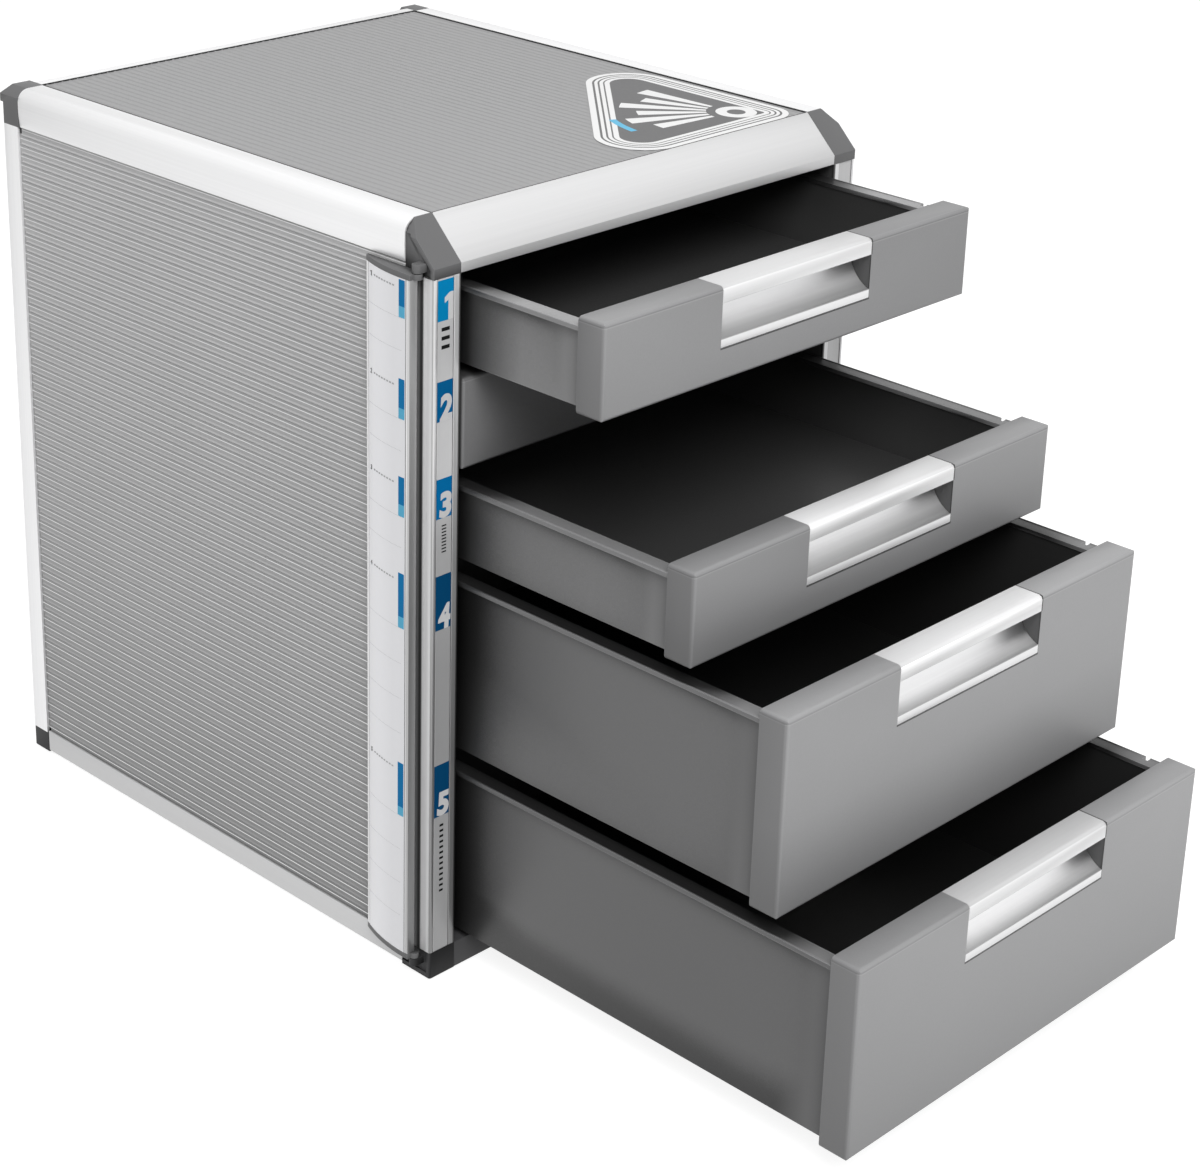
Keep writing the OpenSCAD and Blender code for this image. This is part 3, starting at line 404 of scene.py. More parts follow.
# Painted light and shade over a post's depth: a darker band on the rounded corner of its front face, and on
# the left post's side painted light where the flap's nose shades it, then a dark painted slit beside the nose
faceTones = [(0.0, 0.82), (0.45, 0.82), (0.65, 0.5), (1.1, 0.5), (1.35, 0.95), (2.3, 1.06)]
postTones = {"left": faceTones + [(3.5, 1.0), (4.5, 1.03), (5.3, 1.15), (6.7, 1.15), (7.3, 0.5), (7.7, 0.05),
    (9.0, 0.05), (11.0, 0.5), (20.5, 0.9)], "right": faceTones + [(20.5, 1.0)]}
# Tones over its width, from the edge beside the opening outwards: painted shade at that edge
openingTones = [(135.5, 0.1), (136.4, 0.14), (136.9, 1.0), (152.5, 1.0)]
# The left post's front face is painted darker from the middle down: painted shade
lowShadeSpot = ((1, stopsFrom(shiftY, [(-1, 0.0), (0.6, 0.0), (0.9, 1.0), (21, 1.0)])),
    (2, [(0.0, 0.36), (0.13, 0.42), (0.176, 0.48), (0.244, 0.72), (0.285, 1.0), (0.4, 1.0)]))
for side, sign, spots in (("left", -1, (lowShadeSpot,)), ("right", 1, ())):
    depthTones = stopsFrom(shiftY, postTones[side])
    widthTones = sorted(stopsFrom(shiftX, [(sign * place, tone) for place, tone in openingTones]))
    dress(f"front_{side}_post", satinAluminium(side + "PostAluminium", dict(postLook, spots=spots), "z",
        [(1, depthTones), (0, widthTones)]))

baseLook = {"colour": (0.056, 0.056, 0.058), "roughness": 0.5, "metallic": 0.1, "specular": 0.25}
dress("bottom_front_rail", satinAluminium("darkAluminium", baseLook, "x"))

capLook = {"colour": (0.12, 0.12, 0.122), "roughness": 0.5, "rim": 0.5, "reach": 0.01, "shut": 0.3,
    "open": 0.8, "deep": 0.25}
# The bottom caps' fronts are painted far darker than their sides and tops: painted shade; their rims take a
# strong painted highlight
lowCapLook = {"colour": (0.0125, 0.0125, 0.013), "roughness": 0.5, "rim": 0.5, "rimTone": 4.0, "side": 4.2,
    "top": 2.0, "specular": 0.15}
for level, look in (("top", capLook), ("bottom", lowCapLook)):
    capPlastic = mouldedPlastic(level + "CapPlastic", look)
    for end in ("front", "back"):
        for side in ("left", "right"):
            dress(f"cap_{level}_{end}_{side}", capPlastic)
hingePlastic = mouldedPlastic("hingePlastic", capLook)
dress("flap_top_cap", hingePlastic)
dress("flap_bottom_cap", hingePlastic)

screwLook = {"colour": (0.6, 0.6, 0.6), "roughness": 0.35, "metallic": 1.0}
dress("frame_screws", satinAluminium("zincScrew", screwLook, "y"))
footLook = {"colour": (0.03, 0.03, 0.03), "roughness": 0.8, "grain": 900.0}
dress("feet", mouldedPlastic("footRubber", footLook))
print("frame dressed")

# panels

# Tones of the side panels from the foot up and from the front back: painted shade, darker towards the foot and
# towards the front
sideHeightTones = [(0.0, 0.62), (0.04, 0.68), (0.08, 0.77), (0.12, 0.84), (0.16, 0.88), (0.24, 0.95),
    (0.36, 1.06)]
sideDepthTones = stopsFrom(shiftY, [(0, 0.90), (180, 1.0), (360, 1.10)])
# The painted highlight line lies on a ridge's upper slope, lifted from its middle, and is stronger low down
sideLook = {"colour": (0.43, 0.43, 0.433), "roughness": 0.42, "ridge": 2.2, "pitch": 5 * mm,
    "width": 0.6 * mm, "lift": 0.35 * mm, "ridgeTones": [(2, [(0.0, 1.15), (0.36, 0.90)])],
    "tones": [(2, sideHeightTones), (1, sideDepthTones)]}
topLook = {"colour": (0.30, 0.30, 0.303), "roughness": 0.45, "ridge": 1.02, "pitch": 5 * mm,
    "width": 1.2 * mm, "flatten": 0.92}
sheetGrain = {"scale": 1100.0, "mottle": 0.04, "bump": 0.00002}


def ribbedSheet(name, look, axis, start):
    # The ridge tone, a painted highlight, is a narrow line once each pitch along one axis: |fraction - 1/2|
    # under half a width.
    colour = look["colour"]
    material, tree, shader = newMaterial(name, colour, look["roughness"])
    along = mathNode(tree, "SUBTRACT", objectPlace(tree)[axis], start)
    steps = mathNode(tree, "DIVIDE", along, look["pitch"])
    fraction = mathNode(tree, "FRACT", mathNode(tree, "ADD", steps, 0.5))
    away = mathNode(tree, "ABSOLUTE", mathNode(tree, "SUBTRACT", fraction, 0.5))
    half = look["width"] / look["pitch"] / 2
    line = mapRange(tree, away, half * 0.7, half * 1.2, 1.0, 0.0, True)
    tone = useGroup(tree, grain, scale=sheetGrain["scale"])
    tints = [scaled(colour, 1 + way * sheetGrain["mottle"]) for way in (-1, 1)]
    flat = mixColour(tree, spread(tree, tone["Tone"], 0.0, 1.0), *tints)
    ridge = alongTones(tree, scaled(colour, look["ridge"]), look.get("ridgeTones", ()))
    flat = alongTones(tree, flat, look.get("tones", ()))
    tree.links.new(mixColour(tree, line, flat, ridge), shader.inputs["Base Color"])
    tree.links.new(spread(tree, tone["Tone"], look["roughness"] - 0.04, look["roughness"] + 0.04),
        shader.inputs["Roughness"])
    addBump(tree, shader, tone["Height"], sheetGrain["bump"])
    if "flatten" in look:
        # The ribs shade softly: the normal is a blend of the true one and straight up. Sockets 4 and 5 are
        # the two vectors of a Mix node that is set to VECTOR.
        up = tree.nodes.new("ShaderNodeMix")
        up.data_type = "VECTOR"
        up.inputs[0].default_value = look["flatten"]
        tree.links.new(shader.inputs["Normal"].links[0].from_socket, up.inputs[4])
        up.inputs[5].default_value = (0, 0, 1)
        whole = tree.nodes.new("ShaderNodeVectorMath")
        whole.operation = "NORMALIZE"
        tree.links.new(up.outputs[1], whole.inputs[0])
        tree.links.new(whole.outputs[0], shader.inputs["Normal"])
    return material


sideLow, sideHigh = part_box("left_side_panel")
sideSheet = ribbedSheet("sideSheet", sideLook, 2, (sideLow.z + sideHigh.z) / 2 + sideLook["lift"])
dress("left_side_panel", sideSheet)
dress("right_side_panel", sideSheet)

topLow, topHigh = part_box("top_panel")
dress("top_panel", ribbedSheet("topSheet", topLook, 0, (topLow.x + topHigh.x) / 2))

innerPlastic = mouldedPlastic("innerPlastic", {"colour": (0.10, 0.10, 0.10), "roughness": 0.55})
for node in ("back_panel", "bottom_panel"):
    dress(node, innerPlastic)
runnerPlastic = mouldedPlastic("runnerPlastic", {"colour": (0.04, 0.04, 0.04), "roughness": 0.5})
for node in ("runner_left", "runner_right"):
    dress(node, runnerPlastic)

gapShadowLook = {"colour": (0.012, 0.012, 0.012), "roughness": 0.6, "grain": 900.0}
# The dark strip that stands in for the shadow in the gap round the top panel: its play beside the panel, its
# width, how far its top lies under the rails and its foot above the panel's, and its front and back end at the
# corner caps, behind the front plane
gapShadow = {"play": 0.05 * mm, "width": 0.8 * mm, "sink": 0.05 * mm, "lift": 0.1 * mm, "front": 20.55 * mm,
    "back": 326.45 * mm}


def gasketStrip(low, high, axis):
    # A low wall along one axis: the section runs up its inner face, over its top and down its outer face.
    near, far = low[1 - axis], high[1 - axis]
    section = [(near, low[2]), (near, high[2]), (far, high[2]), (far, low[2])]
    points = np.zeros((2, 4, 3))
    for i, end in enumerate((low[axis], high[axis])):
        points[i, :, axis] = end
        points[i, :, 1 - axis] = [place for place, height in section]
        points[i, :, 2] = [height for place, height in section]
    return points[::-1] if axis == 1 else points


near, wide = gapShadow["play"], gapShadow["width"] - gapShadow["play"]
seat, crest = topLow.z + gapShadow["lift"], railHigh.z - gapShadow["sink"]
capEnd = {end: shiftY + gapShadow[end] for end in ("front", "back")}
gapShadowStrips = []
for edge, sign in ((topHigh.x, 1), (topLow.x, -1)):
    xs = sorted((edge + sign * near, edge + sign * wide))
    gapShadowStrips.append(gasketStrip((xs[0], capEnd["front"], seat), (xs[1], capEnd["back"], crest), 1))
for edge, sign in ((topHigh.y, 1), (topLow.y, -1)):
    ys = sorted((edge + sign * near, edge + sign * wide))
    gapShadowStrips.append(gasketStrip((topLow.x, ys[0], seat), (topHigh.x, ys[1], crest), 0))
# Painted shadow: dark strips in the gap round the top panel.
gapShadowDark = mouldedPlastic("gapShadowDark", gapShadowLook)
addPiece("topGapShadow", surfaceMesh("topGapShadow", gapShadowStrips), gapShadowDark, "cabinet")
print("panels dressed")

# drawers

# Trays: a painted highlight on their rims and painted shade in tight places near the cabinet's mouth
trayLook = {"colour": (0.28, 0.28, 0.283), "roughness": 0.42, "grain": 1200.0, "rim": 0.45, "rimTone": 1.9,
    "reach": 0.048, "shut": 0.76, "open": 0.95, "deep": 0.05}
linerLook = {"roughness": 0.4, "grain": 900.0}
# Fronts: painted shade on their sides and tops, a painted highlight on their rims and painted shade in tight
# places
frontLook = {"colour": (0.335, 0.335, 0.34), "roughness": 0.45, "rim": 0.3, "rimTone": 1.5, "side": 0.6,
    "top": 0.88, "reach": 0.03, "shut": 0.5, "open": 0.88, "deep": 0.25}
frontDepth = 16 * mm
handleLook = {"colour": (0.96, 0.96, 0.965), "roughness": 0.4, "metallic": 0.25, "mottle": 0.012,
    "bump": 0.000003}
# Painted light and shade of a handle at heights below its top, in mm: the lip, the scoop of either kind,
# darker towards its foot, the strip above it with a dark line at its lower edge, and the plate on top. The
# scoop is more metallic than the rest, and in the deep drawers that begins lower down.
handleTones = {"lip": [(-30.2, 0.93), (-26.4, 0.93)],
    "shallow": [(-25.9, 0.36), (-24.5, 0.38), (-23.0, 0.48), (-21.5, 0.64), (-19.5, 0.92)],
    "deep": [(-25.9, 0.42), (-25.0, 0.50), (-24.0, 0.68), (-22.8, 0.90), (-21.5, 1.0)],
    "strip": [(-18.0, 1.0), (-9.0, 1.0), (-8.7, 0.7), (-8.15, 0.7), (-7.9, 1.0), (-5.0, 0.93)],
    "plate": [(-1.2, 0.86), (-0.9, 0.7), (-0.2, 0.67)]}
handleMetal = {
    "shallow": [(-30.2, 0.25), (-22.0, 0.25), (-17.0, 0.85), (-8.6, 0.85), (-8.4, 0.25), (-0.2, 0.25)],
    "deep": [(-30.2, 0.25), (-25.0, 0.25), (-21.0, 1.0), (-8.6, 1.0), (-8.4, 0.25), (-0.2, 0.25)]}

# Each drawer's kind of scoop and its painted light and shade: its liner's tone, the tones of its tray's side,
# of its handle's plate at the left and right end and of its tray's flange, the tones of its front from the
# bottom up, as shares of the height, and those across its width. fade holds a tray's painted shadow near the
# cabinet's mouth, in mm behind the front plane. Drawer 2's front takes a wider painted shade of tight places,
# and drawer
# 5's front a darker top.
drawerLooks = {
    1: {"scoop": "shallow", "liner": 0.040, "side": 0.76, "plate": (0.97, 1.12), "flange": 1.08,
        "front": [(0.0, 0.86), (1.0, 0.89)], "across": [(-134, 1.03), (134, 0.90)],
        "fade": [(-34, 1.0), (-20, 0.6), (-10, 0.45), (0, 0.45), (20, 1.0)]},
    2: {"scoop": "shallow", "liner": 0.030, "side": 0.72, "plate": (1.0, 1.0), "flange": 1.0,
        "front": [(0.0, 0.86), (1.0, 0.89)], "across": [(-134, 0.78), (-118, 0.84), (-85, 1.0), (134, 1.0)],
        "reach": 0.12, "shut": 0.30, "open": 0.92, "deep": 0.14},
    3: {"scoop": "shallow", "liner": 0.038, "side": 0.62, "plate": (1.27, 1.22), "flange": 0.60,
        "front": [(0.0, 0.62), (0.2, 0.68), (0.45, 0.80), (0.7, 0.88), (1.0, 0.93)],
        "across": [(-134, 0.92), (134, 1.06)],
        "fade": [(-40, 1.0), (-20, 0.85), (-10, 0.7), (0, 0.6), (20, 1.0)]},
    4: {"scoop": "deep", "liner": 0.020, "side": 0.49, "plate": (1.02, 1.47), "flange": 0.62,
        "front": [(0.0, 0.72), (0.2, 0.86), (0.45, 1.03), (0.7, 1.07), (1.0, 1.07)],
        "across": [(-134, 0.95), (134, 1.09)]},
    5: {"scoop": "deep", "liner": 0.018, "side": 0.39, "plate": (0.87, 1.08), "flange": 0.54,
        "front": [(0.0, 0.84), (0.2, 0.92), (0.45, 1.0), (0.7, 1.06), (1.0, 1.10)],
        "across": [(-134, 0.94), (134, 1.14)], "top": 0.72}}

# The painted highlight line along a front's rounded top edge, with painted shade above it: its place below the
# top, the light tone and the dark one above it
edgeLine = {"drop": 2.2, "light": 1.22, "dark": 0.72, "end": 0.9}


def frontTones(low, high, shares):
    # The given painted tones up the height, then a fine painted highlight line with a painted dark one above
    # it at the rounded edge.
    stops = [(low + share * (high - low), tone) for share, tone in shares if share < 1]
    last = shares[-1][1]
    light, dark = last * edgeLine["light"], last * edgeLine["dark"]
    end = last * edgeLine["end"]
    line = [(-0.5, last), (-0.2, light), (0.1, light), (0.3, dark), (0.6, dark), (0.9, end)]
    return stops + stopsFrom(high - edgeLine["drop"] * mm, line) + [(high, last)]


def trayTones(behind, fade):
    # A painted highlight line where the tray meets its front, then painted shadow towards the cabinet at the
    # given places.
    ends = [(behind - 0.02, 1.3), (behind + 0.7 * mm, 1.3), (behind + 1.1 * mm, 1.0)]
    return ends + stopsFrom(shiftY, fade) + [(behind + 0.4, 1.0)]


def dressTray(number, look, behind):
    # The stretch just behind the front is kept clear of the painted shade of tight places.
    clear = [(behind - 0.02, 1.0), (behind + 12 * mm, 1.0), (behind + 30 * mm, 0.0), (behind + 0.4, 0.0)]
    tones = [(1, trayTones(behind, look.get("fade", ())))]
    dress(f"drawer_{number}_tray", mouldedPlastic(f"trayPlastic_{number}",
        dict(trayLook, side=look["side"], top=look["flange"], clear=clear, tones=tones)))


# Painted shade in dark bands on a front round its handle; bend is how far the plate's bent edge reaches down
frontBands = {"bend": 8.2 * mm,
    "lip": {"tone": 0.16, "width": 0.95 * mm, "over": 0.2 * mm, "left": 0.3 * mm, "right": 0.5 * mm},
    "plate": {"tone": 0.22, "width": 0.8 * mm, "over": 1 * mm},
    "wall": {"tone": 0.42, "width": 0.25 * mm}}


def bandSpots(low, high):
    # Painted shade under the handle's lip, beside the end of its plate, and on the wall at the scoop's right
    # end.
    lip, plate, wall = frontBands["lip"], frontBands["plate"], frontBands["wall"]
    bend, end = high.z - frontBands["bend"], high.x
    areas = ((lip["tone"], low.x - lip["left"], end + lip["right"], low.z - lip["width"], low.z + lip["over"]),
        (plate["tone"], end, end + plate["width"], bend, high.z + plate["over"]),
        (wall["tone"], end, end + wall["width"], low.z, bend))
    return [((0, band(left, right, tone)), (2, band(foot, crest, tone)))
        for tone, left, right, foot, crest in areas]


def dressFront(number, look, box, handleBox):
    own = {key: look[key] for key in ("reach", "shut", "open", "deep", "top") if key in look}
    tones = [(2, frontTones(box[0].z, box[1].z, look["front"])), (0, stopsFrom(shiftX, look["across"]))]
    dress(f"drawer_{number}_front", mouldedPlastic(f"frontPlastic_{number}",
        dict(frontLook, **own, spots=bandSpots(*handleBox), tones=tones)))


def dressHandle(number, look, low, high):
    kind, strongest = look["scoop"], max(look["plate"])
    plateTones = [(drop, tone * strongest) for drop, tone in handleTones["plate"]]
    stops = handleTones["lip"] + handleTones[kind] + handleTones["strip"] + plateTones
    # Only the plate on top takes the painted tones from its left to its right end
    plateSpot = ((2, [(low.z, 1.0), (high.z - 1.3 * mm, 1.0), (high.z - 1 * mm, 0.0), (high.z, 0.0)]),
        (0, [(edge, tone / strongest) for edge, tone in zip((low.x, high.x), look["plate"])]))
    metal = (2, stopsFrom(high.z, handleMetal[kind]))
    dress(f"drawer_{number}_handle", satinAluminium(f"handleAluminium_{number}",
        dict(handleLook, metal=metal, spots=(plateSpot,)), "x", [(2, stopsFrom(high.z, stops))]))


# Painted shadow in the gap round a handle: the dark strips' width and sink, and their share below and above
# the lip
seamShadow = {"width": 0.6 * mm, "sink": 0.08 * mm, "below": 0.7, "above": 0.3}


def seamSheets(low, high, back):
    # Dark strips sunk in the gap round a handle, as its painted shadow: under its lip, beside its right end,
    # along its plate's end.
    wide, sink = seamShadow["width"], seamShadow["sink"]
    left, right = low.x - wide / 2, high.x + wide / 2
    face, crest = low.y + sink, high.z - sink
    foot, head = low.z - wide * seamShadow["below"], low.z + wide * seamShadow["above"]
    under = [[(left, face, foot), (left, face, head)], [(right, face, foot), (right, face, head)]]
    near = right - wide
    beside = [[(near, face, low.z), (near, face, crest)], [(right, face, low.z), (right, face, crest)]]
    over = [[(near, face, crest), (near, back, crest)], [(right, face, crest), (right, back, crest)]]
    return [np.array(sheet) for sheet in (under, beside, over)]


seamShadowPlastic = mouldedPlastic("seamShadowDark", {"colour": (0.012, 0.012, 0.012), "roughness": 0.7, "grain": 900.0})
for number, look in drawerLooks.items():
    frontBox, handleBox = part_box(f"drawer_{number}_front"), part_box(f"drawer_{number}_handle")
    behind = frontBox[0].y + frontDepth    # where the tray begins behind the front
    dressTray(number, look, behind)
    dress(f"drawer_{number}_liner", mouldedPlastic(f"linerPlastic_{number}",
        dict(linerLook, colour=(look["liner"],) * 3)))
    dressFront(number, look, frontBox, handleBox)
    dressHandle(number, look, *handleBox)
    addPiece(f"handleSeamShadow{number}", surfaceMesh("handleSeamShadow", seamSheets(*handleBox, behind)), seamShadowPlastic,
        f"drawer_{number}")
print("drawers dressed")

# flap, strip and label

flapLook = {"colour": (0.86, 0.86, 0.865), "roughness": 0.38, "metallic": 0.6}
# Painted shade over the flap's depth: a dark groove line beside the card and a darker nose at the hinge
flapTones = [(8.0, 0.42), (8.5, 0.74), (8.9, 0.82), (9.05, 0.45), (9.25, 0.45), (9.4, 1.0), (45.0, 1.0)]
# The flap's edge in front of the card is painted darker from the middle down: painted shade
noseShadeSpot = ((1, stopsFrom(shiftY, [(7, 0.0), (10.4, 0.0), (11.5, 1.0), (45, 1.0)])),
    (2, [(0.0, 0.74), (0.2, 0.74), (0.26, 0.9), (0.29, 1.0), (0.38, 1.0)]))
dress("flap_extrusion", satinAluminium("flapAluminium", dict(flapLook, spots=(noseShadeSpot,)), "z",
    [(1, stopsFrom(shiftY, flapTones))]))
# The card is painted darker towards its front edge: painted shade
cardTones = [(10, 0.86), (20, 0.90), (28, 0.99), (36, 1.07), (43, 1.07)]
cardLook = {"colour": (0.92, 0.92, 0.945), "roughness": 0.35, "metallic": 0.2, "grain": 300.0, "mottle": 0.01,
    "bump": 0.000002, "tones": [(1, stopsFrom(shiftY, cardTones))]}
# Painted reflection: the strip mirrors its surroundings, brighter between the second and the third block
stripTones = [(20, 0.8), (71, 0.83), (123, 0.68), (176, 0.63), (244, 0.75), (262, 0.92), (281, 1.05),
    (305, 1.0), (344, 0.82), (374, 0.85)]
stripLook = {"colour": (0.60, 0.60, 0.605), "roughness": 0.4, "grain": 300.0, "mottle": 0.015,
    "bump": 0.000002, "tones": [(2, stopsFrom(0.0, stripTones))]}
labelLook = {"colour": (0.8, 0.8, 0.8), "roughness": 0.35, "grain": 300.0, "mottle": 0.01, "bump": 0.000002}
dress("flap_card", mouldedPlastic("cardPlastic", cardLook))
dress("number_strip", mouldedPlastic("stripPlastic", stripLook))
dress("top_label", mouldedPlastic("labelFilm", labelLook))


def ink(name, colour, roughness=0.4):
    return mouldedPlastic(name, {"colour": colour, "roughness": roughness, "grain": 600.0, "mottle": 0.03,
        "bump": 0.000001, "specular": 0.1})


inkColours = {"blue": (0.001, 0.23, 0.50), "midBlue": (0.001, 0.115, 0.30), "clearBlue": (0.001, 0.15, 0.385),
    "deepBlue": (0.001, 0.06, 0.16), "barBlue": (0.001, 0.18, 0.43), "sky": (0.12, 0.47, 0.70),
    "white": (0.8, 0.8, 0.8), "pale": (0.65, 0.65, 0.655), "black": (0.012, 0.012, 0.012),
    "grey": (0.135, 0.135, 0.137), "hair": (0.45, 0.45, 0.46)}
inks = {name: ink("ink" + name[0].upper() + name[1:], colour) for name, colour in inkColours.items()}

# Blocks of the number strip, one for each drawer: top edge, height, ink, width of its digit; print is in mm
blockRows = [(373.9, 20.0, "blue", 5.6), (324.1, 20.0, "midBlue", 8.2), (274.9, 20.4, "clearBlue", 8.0),
    (224.7, 28.8, "deepBlue", 8.2), (122.2, 28.9, "deepBlue", 8.0)]
strip = {"left": -150.1, "right": -140.2, "face": 0.1, "digitHeight": 13.4, "lift": 0.03}


def flatSheet(left, right, low, high, depth):
    # A flat rectangle that faces the front.
    xs, zs = np.array([left, right]) * mm + shiftX, np.array([low, high]) * mm
    gridX, gridZ = np.meshgrid(xs, zs, indexing="ij")
    return np.stack([gridX, np.full_like(gridX, shiftY + depth * mm), gridZ], -1)


# A stem with a broad flag, in shares of the digit's box
boldOne = ((0.42, 0.0), (1.0, 0.0), (1.0, 1.0), (0.58, 1.0), (0.0, 0.84), (0.0, 0.64), (0.42, 0.72))


def digitShape(number, width, height):
    # The outline of a digit, slanted and thickened, as points in a box of the given size with its faces.
    if number == 1:
        return np.array(boldOne) * (width, height), [list(range(len(boldOne)))]
    curve = bpy.data.curves.new("digit", "FONT")
    curve.body = str(number)
    curve.shear = 0.06
    curve.offset = 0.05
    curve.resolution_u = 6
    holder = bpy.data.objects.new("digit", curve)
    scene.collection.objects.link(holder)
    flat = bpy.data.meshes.new_from_object(holder.evaluated_get(bpy.context.evaluated_depsgraph_get()))
    places = np.empty(len(flat.vertices) * 3)
    flat.vertices.foreach_get("co", places)
    places = places.reshape(-1, 3)[:, :2]
    faces = [list(face.vertices) for face in flat.polygons]
    bpy.data.objects.remove(holder)
    low, high = places.min(0), places.max(0)
    return (places - low) / (high - low) * (width, height), faces


def addFaces(name, verts, faces, material, body):
    mesh = bpy.data.meshes.new(name)
    mesh.from_pydata(np.asarray(verts).tolist(), [], faces)
    mesh.update(calc_edges=True)
    return addPiece(name, mesh, material, body)


inkDepth = strip["face"] - strip["lift"]
for number, (top, height, inkName, width) in enumerate(blockRows, 1):
    block = flatSheet(strip["left"], strip["right"], top - height, top, inkDepth)
    addPiece(f"stripBlock{number}", surfaceMesh("block", [block]), inks[inkName], "cabinet")
    outline, faces = digitShape(number, width, strip["digitHeight"])
    x = shiftX + (strip["right"] - width + outline[:, 0]) * mm
    z = (top - height + outline[:, 1]) * mm
    y = np.full_like(x, shiftY + (inkDepth - strip["lift"]) * mm)
    addFaces(f"stripDigit{number}", np.stack([x, y, z], -1), faces, inks["pale"], "cabinet")

# Short dark ticks under some blocks: top, count, pitch, length; thick is the share of the pitch that is dark
tickRows = [(350.6, 3, 4.4, 5.2), (250.8, 9, 1.7, 3.0), (88.5, 13, 3.1, 2.6)]
tick = {"middle": -145.0, "thick": 0.42}
ticks = []
for top, count, pitch, length in tickRows:
    left, right = tick["middle"] - length / 2, tick["middle"] + length / 2
    for crest in [top - i * pitch for i in range(count)]:
        ticks.append(flatSheet(left, right, crest - pitch * tick["thick"], crest, inkDepth))
addPiece("stripTicks", surfaceMesh("stripTicks", ticks), inks["black"], "cabinet")

# The card's outer curve: centre and radius in the cabinet's own measure
card = {"centreX": -72.222, "centreY": 12.0, "radius": 88.228, "lift": 0.03, "front": 10.4, "back": 42.6}
lineLift = 0.02    # fine lines lie a little closer to the card than the rest of its print


def cardPoints(depth, height, lift=card["lift"]):
    # Points just above the card's curve at distances behind the front plane.
    reach = card["radius"] + lift
    x = card["centreX"] - np.sqrt(reach ** 2 - (depth - card["centreY"]) ** 2)
    return np.stack([shiftX + x * mm, shiftY + depth * mm, height * mm], -1)


def cardSheet(front, back, low, high, lift=card["lift"], steps=2):
    depth, height = np.meshgrid(np.linspace(back, front, steps), np.array([low, high], float), indexing="ij")
    return cardPoints(depth, height, lift)


# Bars on the card: top, where the light part begins, bottom
barRows = [(373.6, 360.6, 355.1), (324.9, 310.2, 304.8), (275.5, 261.2, 255.1), (225.5, 202.5, 196.5),
    (123.1, 98.5, 93.6)]
barPlace = (11.3, 15.5)
addPiece("cardBars", surfaceMesh("cardBars", [cardSheet(*barPlace, middle, top, steps=4)
    for top, middle, low in barRows]), inks["barBlue"], "index_flap")
addPiece("cardBarFeet", surfaceMesh("cardBarFeet", [cardSheet(*barPlace, low, middle, steps=4)
    for top, middle, low in barRows]), inks["sky"], "index_flap")

# Fine dotted rules across the card: one at each bar's foot and more below it
ruleDrops = [(0, 16), (0, 16), (0, 16), (0, 19, 38, 57), (0, 19, 38, 57)]
rule = {"front": 13.6, "back": 41.6, "dot": 0.45, "gap": 0.5, "thick": 0.22}
dots = []
for (top, middle, low), drops in zip(barRows, ruleDrops):
    for crest in [low - drop for drop in drops]:
        for start in np.arange(rule["front"], rule["back"], rule["dot"] + rule["gap"]):
            dots.append(cardSheet(start, start + rule["dot"], crest - rule["thick"], crest, lineLift))
addPiece("cardRules", surfaceMesh("cardRules", dots), inks["hair"], "index_flap")

# A small number and a short row of dashes at the head of each part of the card
head = {"width": 1.7, "height": 2.6, "back": 40.2, "drop": 5.2}
dash = {"back": 36.5, "front": 20.0, "pitch": 2.3, "length": 1.5, "foot": 4.4, "top": 3.6}
for number, (top, middle, low) in enumerate(barRows, 1):
    outline, faces = digitShape(number, head["width"], head["height"])
    places = cardPoints(head["back"] - outline[:, 0], top - head["drop"] + outline[:, 1])
    addFaces(f"cardDigit{number}", places, faces, inks["grey"], "index_flap")
dashes = [cardSheet(start - dash["length"], start, top - dash["foot"], top - dash["top"])
    for top, middle, low in barRows for start in np.arange(dash["back"], dash["front"], -dash["pitch"])]
addPiece("cardDashes", surfaceMesh("cardDashes", dashes), inks["hair"], "index_flap")

# Painted shadow: a dark line just inside each long edge of the card
cardLow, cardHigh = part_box("flap_card")
edgeShadow = {"thick": 0.3, "inset": 0.05}
edgeShadowStarts = (card["front"] + edgeShadow["inset"], card["back"] - edgeShadow["inset"] - edgeShadow["thick"])
cardEdgeShadows = [cardSheet(start, start + edgeShadow["thick"], cardLow.z / mm, cardHigh.z / mm, lineLift)
    for start in edgeShadowStarts]
addPiece("cardEdgeShadows", surfaceMesh("cardEdgeShadows", cardEdgeShadows), inks["grey"], "index_flap")
print("strip and card printed")

# Print of the label: its outline is the support curve of three round corners. Rings are pairs of insets.
label = {"legX": 154.0, "legY": 161.0, "cornerR": 15.0, "tipR": 24.0, "right": 131.2, "front": 21.4,
    "lift": 0.02, "field": 13.0, "rings": ((3.4, 4.6), (6.4, 7.4), (9.4, 10.2))}
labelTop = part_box("top_label")[1].z


def labelCorners():
    angle = math.atan2(label["legY"], label["legX"])
    tip = label["tipR"]
    return [(-label["cornerR"], label["cornerR"], label["cornerR"]),
        (tip / math.tan(angle / 2) - label["legX"], tip, tip),
        (-tip, label["legY"] - tip / math.tan((math.pi / 2 - angle) / 2), tip)]


def labelOutline(inset, count=360):
    # In each direction the corner that reaches furthest gives the point: its centre plus its radius.
    angle = np.linspace(0, 2 * np.pi, count, endpoint=False)
    outward = np.stack([np.cos(angle), np.sin(angle)], -1)
    corners = np.array(labelCorners())
    reach = outward @ corners[:, :2].T + corners[:, 2] - inset
    best = corners[reach.argmax(1)]
    return best[:, :2] + (best[:, 2:] - inset) * outward


